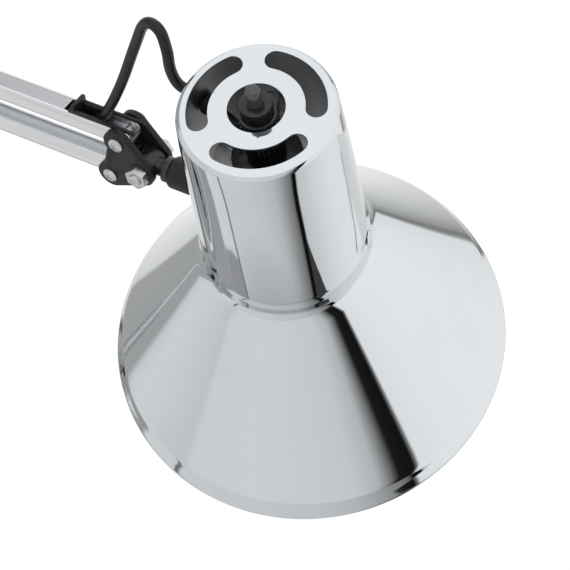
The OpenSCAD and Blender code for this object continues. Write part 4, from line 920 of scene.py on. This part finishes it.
class LAMP_OT_stage(bpy.types.Operator):
    """Makes the pale floor, the soft studio light and the camera"""

    bl_idname = "lamp.stage"
    bl_label = "Stage"

    def execute(self, context):
        settings = context.scene.lamp_stage
        camera = bpy.data.cameras.new("Camera")
        camera.lens = settings.lens
        camera.sensor_width = 36
        camera.clip_start = 0.01
        eye = added("Camera", camera)
        eye.matrix_world = Matrix.Translation(CAMERA_AT) @ Matrix(CAMERA_AXES).transposed().to_4x4()
        context.scene.camera = eye
        context.scene.view_settings.view_transform = "Standard"

        bm = bmesh.new()
        bmesh.ops.create_grid(bm, x_segments=8, y_segments=8, size=4.0)
        floor = added("floor", mesh_from(bm, "floor"))
        floor.location.z = -0.0006
        floor.data.materials.append(new_finish("White floor", (0.93, 0.93, 0.93), 0.0, 0.9)[0])

        world = bpy.data.worlds.new("Pale room")
        world.use_nodes = True
        glow = world.node_tree.nodes["Background"]
        glow.inputs[0].default_value = (0.97, 0.98, 1.0, 1.0)
        glow.inputs[1].default_value = settings.world
        context.scene.world = world
        self.softbox("Overhead", (0.35, -0.1, 2.1), (0.35, 0.0, 0.4), 2.4, settings.key)
        self.surround()
        for name, shade, corners in STRIPS:
            bm = bmesh.new()
            bm.faces.new([bm.verts.new((x, y, 0.0005)) for x, y in corners])
            self.reflected(name, mesh_from(bm, name), self.glow(name, shade)[0])
        return {"FINISHED"}

    def glow(self, name, shade):
        """A material that glows evenly with one brightness, and its Emission node."""
        material = bpy.data.materials.new(name)
        material.use_nodes = True
        tree = material.node_tree
        tree.nodes.clear()
        shine = node(tree, "ShaderNodeEmission", {0: (shade, shade, min(1.0, shade * 1.02), 1.0), 1: 1.0})
        node(tree, "ShaderNodeOutputMaterial", {0: shine.outputs[0]})
        return material, shine

    def reflected(self, name, mesh, material):
        """A piece of the studio that only mirror-like surfaces show."""
        piece = added(name, mesh)
        piece.data.materials.append(material)
        for ray in ("camera", "diffuse", "transmission", "shadow", "volume_scatter"):
            setattr(piece, "visible_" + ray, False)
        return piece

    def surround(self):
        """The studio's round wall and its floor, whose brightness follows the azimuth."""
        outline = []
        for i in range(WALL_SIDES):
            a = 2 * math.pi * i / WALL_SIDES
            away = WALL_AWAY + WALL_SHIFT * math.cos(a)
            outline.append((away * math.cos(a), away * math.sin(a)))
        wall, disc = bmesh.new(), bmesh.new()
        low, high = ([wall.verts.new((x, y, z)) for x, y in outline] for z in (-0.004, WALL_TOP))
        bridged(wall, low, high, capped=False)
        disc.faces.new([disc.verts.new((x, y, 0.0)) for x, y in outline])
        for name, bm, tones in (("Studio wall", wall, WALL_TONES), ("Studio floor", disc, FLOOR_TONES)):
            material, shine = self.glow(name, 1.0)
            tree = material.node_tree
            place = object_place(tree)
            parts = node(tree, "ShaderNodeSeparateXYZ", {0: place}).outputs
            around = maths(tree, "ARCTAN2", parts[1], parts[0])
            share = maths(tree, "MULTIPLY_ADD", around, 0.5 / math.pi, 0.5)
            ramp = node(tree, "ShaderNodeValToRGB", {0: share})
            marks = ramp.color_ramp.elements
            for azimuth, tone in tones[1:-1]:
                marks.new((azimuth + 180) / 360).color = (tone, tone, tone, 1.0)
            for mark, (_, tone) in ((marks[0], tones[0]), (marks[-1], tones[-1])):
                mark.color = (tone, tone, tone, 1.0)
            tree.links.new(ramp.outputs[0], shine.inputs[0])
            if bm is disc:
                # painted shadow: the floor's glow is dimmer close under the head, where the head's shadow
                # falls
                length = node(tree, "ShaderNodeVectorMath", {0: place}, operation="LENGTH")
                bright = spread_out(tree, length.outputs["Value"], 0.19, 0.29, 0.6, 1.0)
                tree.links.new(bright, shine.inputs[1])
            piece = self.reflected(name, mesh_from(bm, name), material)
            piece.location = (NECK_AT.x, NECK_AT.y, 0.0002)

    def softbox(self, name, at, to, size, power):
        """A square light that points at a place and isn't seen in mirror-like surfaces."""
        light = bpy.data.lights.new(name, "AREA")
        light.shape = "SQUARE"
        light.size = size
        light.energy = power
        lamp = added(name, light)
        lamp.visible_glossy = False
        lamp.location = at
        lamp.rotation_mode = "QUATERNION"
        lamp.rotation_quaternion = (Vector(to) - Vector(at)).to_track_quat("-Z", "Y")


class LAMP_OT_mains_lead(bpy.types.Operator):
    """Makes the mains lead, wound up for storage, with its tie and plug"""

    bl_idname = "lamp.mains_lead"
    bl_label = "Mains lead"

    def execute(self, context):
        route = smooth_route(LEAD_ROUTE, 4)[:-1] + [Vector(p) for p in coil_points(48)]
        route += [Vector((COIL_AT[0] - COIL_OUT, COIL_AT[1] + y, CORD_R + COIL_PITCH)) for y in (14, 28)]
        route = [p * MM for p in route]
        bm = swept(route, CORD_R * MM, 16, (Vector((-1, 0, 0)), Vector((0, 1, 0))), Vector((0, 0, 1)))
        mesh = mesh_from(bm, "mains_lead_sheath", 60)
        lead = new_piece("mains_lead_sheath", mesh, "base", "flex", ("mains_lead", "lead_coil"))
        plug = softened("plug_body", "plug_moulding", 1.4, "base", "moulded", 3)
        pins = softened("plug_pins", "plug_contacts", 0.1, "base", "brass")
        tie = softened("coil_tie", "coil_strap", 0.3, "base", "rubber")
        return {"FINISHED"}


class LAMP_OT_flex_loops(bpy.types.Operator):
    """Makes the loose loops of flex over the pivots and the stretches in the bars"""

    bl_idname = "lamp.flex_loops"
    bl_label = "Flex loops"

    def execute(self, context):
        turret, elbow, head = (smooth_route(r, ROUTE_STEPS) for r in (TURRET_ROUTE, ELBOW_ROUTE, HEAD_ROUTE))
        mid, a, b = (split * ROUTE_STEPS for split in (ELBOW_SPLIT, HEAD_SPLIT_A, HEAD_SPLIT_B))
        up = Vector((0, 0, 1))
        # name, route, first and last point, the bodies that it joins, CAD node, ways out and in
        for stretch in (
            ("turret_flex", turret, 0, None, "turret", "lower_main", "turret_loop", up, LOWER_ALONG),
            ("elbow_flex_in", elbow, 0, mid, "lower_main", "elbow", "elbow_loop_in", LOWER_ALONG, None),
            ("elbow_flex_out", elbow, mid, None, "elbow", "upper_main", "elbow_loop_out", None, UPPER_ALONG),
            ("head_flex_in", head, 0, a, "upper_main", "head_bracket", "head_loop_in", UPPER_ALONG, None),
            ("head_flex_mid", head, a, b, "head_bracket", "knuckle", "head_loop_mid", None, None),
            ("head_flex_out", head, b, None, "knuckle", "head", "head_loop_out", None, INWARD),
        ):
            self.loop(*stretch)
        for part, body in (
            ("base_cord", "base"),
            ("lower_cord", "lower_main"),
            ("upper_cord", "upper_main"),
            ("head_cord", "head"),
        ):
            name = part + "_sheath"
            new_piece(name, mesh_from(cad_copy(part), name, 50), body, "flex", (part,))
        return {"FINISHED"}

    def loop(self, name, route, first, last, body_a, body_b, part, lead, tail):
        """One stretch of flex across one joint; without a way it follows its route."""
        points = [p * MM for p in route]
        last = len(points) - 1 if last is None else last
        lead = lead or points[first + 1] - points[first - 1]
        tail = tail or points[last + 1] - points[last - 1]
        points = points[first : last + 1]
        mesh = mesh_from(swept(points, CORD_R * MM, 20, (lead, tail)), name, 60)
        piece = new_piece(name, mesh, None, "flex", (part,))
        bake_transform(piece)


class LAMP_OT_reflector(bpy.types.Operator):
    """Makes the wide cone shade with its rolled rim"""

    bl_idname = "lamp.reflector"
    bl_label = "Reflector shade"

    def execute(self, context):
        settings = context.scene.lamp_head
        hem = settings.hem / MM
        start = Vector((WAIST_R, WAIST_Z - 1.5))
        crease = Vector((RIM_R - BAND_IN, RIM_Z + BAND_HIGH))
        down, flare = (crease - start).normalized(), (Vector((RIM_R, RIM_Z)) - crease).normalized()
        ring_out = WAIST_R - SHEET - 0.05
        ring_in = ring_out - SHEET
        narrows = RING_HIGH * HOUSING_SLOPE
        soft = [crease - 2.5 * down, crease - 0.8 * down + 0.3 * flare, crease + 0.9 * flare - 0.3 * down]
        soft += [crease + 2.5 * flare]
        across = (Vector((down.y, -down.x)), Vector((flare.y, -flare.x)))
        inside = [p + SHEET * n for p, n in zip(soft, (across[0], across[0], across[1], across[1]))]
        top = start + SHEET * across[0]
        top += down * (ring_in - top.x) / down.x
        outer = (
            [(ring_out - narrows, WAIST_Z + RING_HIGH), (ring_out, WAIST_Z), (ring_out, WAIST_Z - 0.05)]
            + [(WAIST_R - 0.15, WAIST_Z - 0.05), (WAIST_R, WAIST_Z - 0.2)]
            + line(start, soft[0], 14)
            + [tuple(p) for p in soft]
            + line(soft[-1] + flare * 0.5, (RIM_R, RIM_Z + hem), 6)[1:]
            + [(RIM_R, RIM_Z + hem)]
        )
        bead = arc((RIM_R - hem, RIM_Z + hem), hem, 0, -230, 12)[1:]
        inner = (
            [(RIM_R - 2 * SHEET, RIM_Z + 2 * hem + 0.6)]
            + [tuple(p) for p in reversed(inside)]
            + line(inside[0], top, 10)[1:]
            + [tuple(top), (ring_in, WAIST_Z), (ring_in - narrows, WAIST_Z + RING_HIGH)]
        )
        mesh = mesh_from(turned(outer + bead + inner, settings.around), "reflector_shade", 40)
        mesh.transform(HEAD)
        new_piece("reflector_shade", mesh, "head", "bright", ("shade",))
        return {"FINISHED"}


class LAMP_OT_housing(bpy.types.Operator):
    """Makes the slotted lamp housing"""

    bl_idname = "lamp.housing"
    bl_label = "Lamp housing"

    def execute(self, context):
        settings = context.scene.lamp_head
        e, t, hole = CAP_EDGE_R, SHEET, CAP_HOLE_R
        low = CAP_Z - e
        profile = (
            line((WAIST_R, WAIST_Z), (housing_radius(low), low), 10)
            + arc((CAP_R - e, low), e, 4, 90, 10)
            + [(SLOT_MID_R, CAP_Z), (hole, CAP_Z), (hole, CAP_Z - t), (SLOT_MID_R, CAP_Z - t)]
            + arc((CAP_R - e, low), e - t, 90, 4, 10)
            + line((housing_radius(low) - t, low), (WAIST_R - t, WAIST_Z), 10)
            + [(WAIST_R - t, WAIST_Z)]
        )
        name = "lamp_housing_shell"
        body = mesh_from(turned(profile, settings.around), name, 40)
        place = (
            Matrix.Rotation(GROMMET_ANGLE, 4, "Z")
            @ Matrix.Translation((GROMMET_R * MM, 0, GROMMET_Z * MM))
            @ Matrix.Rotation(math.pi / 2, 4, "Y")
        )
        cutters = [self.slot(a, settings.slot_width / MM) for a in SLOT_ANGLES]
        cutters.append(drill(GROMMET_HOLE_R, 10, 48, place))
        shell = eased(cut(body, cutters, name), 0.22, name, SHELL_SHARP)
        inside = [
            math.hypot(f.center.x, f.center.y) < housing_radius(f.center.z / MM) * MM - 0.0004
            and (f.normal.x * f.center.x + f.normal.y * f.center.y < 0 or f.normal.z < -0.5)
            and f.center.z < (CAP_Z - 0.3) * MM
            for f in shell.polygons
        ]
        shell.transform(HEAD)
        piece = new_piece(name, shell, "head", "bright", ("lamp_housing",))
        piece.data.materials.append(finish("inner")[0])
        for f, dull in zip(piece.data.polygons, inside):
            f.material_index = 1 if dull else 0
        return {"FINISHED"}

    def slot(self, angle, width):
        """Cutter for one arc slot with round ends."""
        half, r = SLOT_HALF, width / 2
        before, after = arc((0, 0), SLOT_MID_R, -half, half, 1)
        points = (
            arc((0, 0), SLOT_MID_R + r, -half, half, 28)
            + arc(after, r, half, half + 180, 14)[1:-1]
            + arc((0, 0), SLOT_MID_R - r, half, -half, 28)
            + arc(before, r, 180 - half, 360 - half, 14)[1:-1]
        )
        bm = bmesh.new()
        turn = Matrix.Rotation(math.radians(angle), 4, "Z")
        low, high = (
            [bm.verts.new(turn @ millimetres((x, y, z))) for x, y in points] for z in (CAP_Z - 4, CAP_Z + 4)
        )
        return bridged(bm, low, high)


class LAMP_OT_head_fittings(bpy.types.Operator):
    """Makes the neck, lampholder, switch, bulb and small pieces of the head"""

    bl_idname = "lamp.head_fittings"
    bl_label = "Head fittings"

    def execute(self, context):
        self.neck()
        for fitting in (
            ("lampholder", "lampholder_body", 0.25, "head", "holder"),
            ("switch_collar", "switch_collar_body", 0.2, "head", "fine moulded"),
            ("switch_stem", "switch_button", 0.35, "switch", "button", 3),
            ("cord_grommet", "cord_grommet_ring", 0.3, "head", "rubber"),
            ("holder_bracket", "holder_bracket_plate", 0.15, "head", "zinc"),
            ("shade_rivets", "shade_rivet_heads", 0.12, "head", "bright"),
            ("bulb_cap", "bulb_screw_cap", 0.3, "head", "aluminium"),
            ("neck_screw", "neck_bolt", 0.15, "knuckle", "zinc"),
            ("tilt_knuckle", "tilt_knuckle_body", 0.3, "knuckle", "enamel"),
        ):
            softened(*fitting)
        self.bulb()
        self.ribs()
        return {"FINISHED"}

    def neck(self):
        """The sleeve that carries the head, with a groove near the housing that it meets."""
        first, wall = NECK_END_X, -housing_radius(0)
        r, e, bore = NECK_R, NECK_EDGE_R, NECK_BORE_R
        profile = (
            [(bore, first)]
            + arc((r - e, first + e), e, -90, 0, 8)
            + [(r, wall - 4.6), (r - 0.35, wall - 4.45), (r - 0.35, wall - 4.1), (r, wall - 3.95)]
            + [(r, wall + 0.2), (bore, wall + 0.2)]
        )
        bm = turned(profile, 96)
        bmesh.ops.transform(bm, matrix=Matrix.Rotation(math.pi / 2, 4, "Y"), verts=bm.verts)
        for v in bm.verts:
            if v.co.x > (wall + 0.1) * MM:
                reach = housing_radius(v.co.z / MM) * MM
                v.co.x = -math.sqrt(reach * reach - v.co.y * v.co.y) - 0.00002
        mesh = mesh_from(bm, "neck_sleeve_body", 40)
        mesh.transform(HEAD)
        new_piece("neck_sleeve_body", mesh, "head", "moulded", ("neck_sleeve",))

    def bulb(self):
        """The bulb's round glass and its tapered throat."""
        profile = [(0.0, BULB_MID_Z - BULB_R)] + arc((0, BULB_MID_Z), BULB_R, -84, 52, 34)
        profile += [(15.6, -24.0), (13.4, -16.0), (12.3, -8.0), (12.0, BULB_FOOT_Z), (0.0, BULB_FOOT_Z)]
        mesh = mesh_from(turned(profile, 96, False), "bulb_globe", 60)
        mesh.transform(HEAD)
        new_piece("bulb_globe", mesh, "head", "pearl", ("bulb_glass",))

    def ribs(self):
        """The fine upright ribs round the switch's collar."""
        values = {
            "Count": 36,
            "Ring radius": 7.9 * MM,
            "Rib radius": 0.45 * MM,
            "Foot": 48.5 * MM,
            "Height": 27.0 * MM,
        }
        mesh = grown("switch_collar_ribs", ring_of_ribs_tree(), "fine moulded", values)
        mesh.transform(HEAD)
        new_piece("switch_collar_ribs", mesh, "head", "fine moulded")


class LAMP_OT_arms(bpy.types.Operator):
    """Makes the bars, brackets, guides and springs of both arms"""

    bl_idname = "lamp.arms"
    bl_label = "Arms"

    def execute(self, context):
        for arm, metal in (("lower", "lower bar"), ("upper", "bar")):
            for bar in ("main", "aux"):
                part = f"{arm}_{bar}_bar"
                softened(part, part + "_channel", 0.22, f"{arm}_{bar}", metal)
        self.lid("lower", LOWER_MAIN_FOOT, LEAN, "lower_main", "lower bar")
        # the upper bar's top takes the darker copy of the bar steel, which is painted shade
        self.lid("upper", UPPER_MAIN_FOOT, 0.0, "upper_main", "bar top")
        for part, body, edge, segments in (
            ("elbow_plate_near", "elbow", 0.55, 3),
            ("elbow_plate_far", "elbow", 0.55, 3),
            ("head_plate_near", "head_bracket", 0.55, 3),
            ("head_plate_far", "head_bracket", 0.55, 3),
            ("lower_cord_guides", "lower_main", 0.2, 2),
            ("upper_cord_guides", "upper_main", 0.2, 2),
        ):
            softened(part, part + "_moulding", edge, body, "moulded", segments)
        softened("turret_yoke", "turret_yoke_pressing", 0.4, "turret", "enamel")
        self.springs(context.scene.lamp_arm)
        return {"FINISHED"}

    def lid(self, name, foot, degrees, body, metal):
        """The closed top of a bar between its two cord guides."""
        half, top, wall, curve = 4.85, 5.0, 0.55, 1.9
        bend = [(half - curve + curve * math.cos(a), top - curve + curve * math.sin(a)) for a in (1.1, 0.5)]
        right = [(half - curve, top), *bend, (half, top - curve)]
        section = [(-y, z) for y, z in reversed(right)] + right
        section += [(y * (half - wall) / half, z - wall) for y, z in reversed(section)]
        bm = bmesh.new()
        rings = []
        for x in (LID_FROM, ARM - LID_FROM):
            places = [(arm_point(foot, degrees, x, z), y) for y, z in section]
            rings.append([bm.verts.new(Vector((p[0], y, p[2])) * MM) for p, y in places])
        mesh = mesh_from(bridged(bm, *rings), name + "_bar_top", 30)
        new_piece(mesh.name, mesh, body, metal)

    def springs(self, settings):
        """The pair of balance springs of each arm, each from its anchor towards its bar's pin."""
        tree = wound_wire_tree()
        for name, low, high, body_a, body_b in (
            ("lower", (-14.0, 98.65), (-20.76, 247.89), "turret", "lower_main"),
            ("upper", (-27.986, 542.877), (126.01, 529.63), "elbow", "upper_main"),
        ):
            run = Vector((high[0] - low[0], 0, high[1] - low[1]))
            turn = Matrix.Rotation(-math.atan2(run.z, run.x), 4, "Y")
            values = {
                "Length": (run.length - 2 * SPRING_HOOK) * MM,
                "Body": SPRING_BODY * MM,
                "Curls": float(settings.curls),
                "Coil radius": SPRING_COIL_R * MM,
                "Wire radius": settings.wire,
            }
            for side, label in ((-1, "near"), (1, "far")):
                mesh = grown(f"{name}_spring_{label}", tree, "spring", values)
                start = Vector((low[0], side * SPRING_Y, low[1])) + run.normalized() * SPRING_HOOK
                mesh.transform(Matrix.Translation(start * MM) @ turn)
                replaced = (name + "_springs",) if side < 0 else ()
                piece = new_piece(mesh.name, mesh, None, "spring", replaced)
                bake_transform(piece)


class LAMP_OT_fasteners(bpy.types.Operator):
    """Makes the screws, nuts, spacers, spring anchors, pins and clip"""

    bl_idname = "lamp.fasteners"
    bl_label = "Fasteners"

    def execute(self, context):
        for part, body, edge in (
            ("socket_screws", "base", 0.12),
            ("turret_screws", "turret", 0.16),
            ("elbow_screws", "elbow", 0.16),
            ("head_screws", "head_bracket", 0.16),
            ("tilt_bolt", "head_bracket", 0.2),
            ("tilt_nut", "head_bracket", 0.25),
            ("elbow_spacers", "elbow", 0.15),
            ("lower_spring_anchor", "turret", 0.15),
            ("lower_spring_pin", "lower_main", 0.15),
            ("upper_spring_anchor", "elbow", 0.15),
            ("upper_spring_pin", "upper_main", 0.15),
            ("swivel_pin", "turret", 0.2),
            ("pin_clip", "turret", 0.1),
        ):
            softened(part, part + "_plated", edge, body, "zinc")
        return {"FINISHED"}


class LAMP_OT_base(bpy.types.Operator):
    """Makes the weighted round base and its post"""

    bl_idname = "lamp.base"
    bl_label = "Base"

    def execute(self, context):
        around = context.scene.lamp_head.around
        r, h, e, t, foot, socket = BASE_R, BASE_H, BASE_EDGE_R, BASE_SHEET, BASE_FOOT, SOCKET_HOLE_R
        profile = (
            [(r - t, foot + 0.3), (r - 0.3, foot), (r, foot + 0.3)]
            + line((r, foot + 0.3), (r, h - e), 2)[1:]
            + arc((r - e, h - e), e, 0, 90, 12)
            + line((r - e, h), (socket, h), 6)[1:]
            + [(socket, h), (socket, h - t)]
            + line((socket, h - t), (r - e, h - t), 4)[1:]
            + arc((r - e, h - e), e - t, 90, 0, 12)
        )
        name = "base_cover_shell"
        body = mesh_from(turned(profile, around), name, 40)
        place = Matrix.Translation((-r * MM, 0, RELIEF_END[2] * MM)) @ Matrix.Rotation(math.pi / 2, 4, "Y")
        shell = cut(body, [drill(LEAD_HOLE_R, 12, 40, place)], name)
        smooth_by_angle(shell, 40)
        new_piece(name, shell, "base", "bright", ("base_cover",))
        softened("post_socket", "post_socket_turned", 0.4, "base", "enamel")
        softened("post_bush", "post_bush_ring", 0.2, "base", "ivory")
        softened("strain_relief", "strain_relief_sleeve", 0.25, "base", "rubber")
        softened("base_pad", "base_pad_disc", 0.5, "base", "rubber", slot="pad_rubber")
        softened("base_weight", "base_weight_casting", 0.8, "base", "iron")
        return {"FINISHED"}


class LAMP_PT_panel(bpy.types.Panel):
    """Lists the lamp's settings and the steps that make its pieces"""

    bl_idname = "LAMP_PT_panel"
    bl_label = "Folding Desk Lamp"
    bl_space_type = "VIEW_3D"
    bl_region_type = "UI"
    bl_category = "Lamp"

    def draw(self, context):
        layout = self.layout
        for title, group in (
            ("Head", context.scene.lamp_head),
            ("Arms", context.scene.lamp_arm),
            ("Stage", context.scene.lamp_stage),
        ):
            column = layout.column(heading=title)
            for field in group.bl_rna.properties:
                if field.identifier not in ("rna_type", "name"):
                    column.prop(group, field.identifier)
        for step in STEPS:
            layout.operator(step.bl_idname)


SETTINGS = {
    "lamp_head": LampHeadSettings,
    "lamp_arm": LampArmSettings,
    "lamp_stage": LampStageSettings,
}
STEPS = (
    LAMP_OT_stage,
    LAMP_OT_mains_lead,
    LAMP_OT_flex_loops,
    LAMP_OT_reflector,
    LAMP_OT_housing,
    LAMP_OT_head_fittings,
    LAMP_OT_arms,
    LAMP_OT_fasteners,
    LAMP_OT_base,
)


def register():
    """Registers the settings, the operators and the panel."""
    for settings in SETTINGS.values():
        bpy.utils.register_class(settings)
    for step in STEPS:
        bpy.utils.register_class(step)
    bpy.utils.register_class(LAMP_PT_panel)
    for name, settings in SETTINGS.items():
        setattr(bpy.types.Scene, name, bpy.props.PointerProperty(type=settings))


def unregister():
    """Takes back all that register() added."""
    for name in SETTINGS:
        delattr(bpy.types.Scene, name)
    bpy.utils.unregister_class(LAMP_PT_panel)
    for step in reversed(STEPS):
        bpy.utils.unregister_class(step)
    for settings in reversed(SETTINGS.values()):
        bpy.utils.unregister_class(settings)


def main():
    """Builds every piece in order."""
    register()
    for step in STEPS:
        group, name = step.bl_idname.split(".")
        getattr(getattr(bpy.ops, group), name)()


if __name__ == "__main__":
    main()
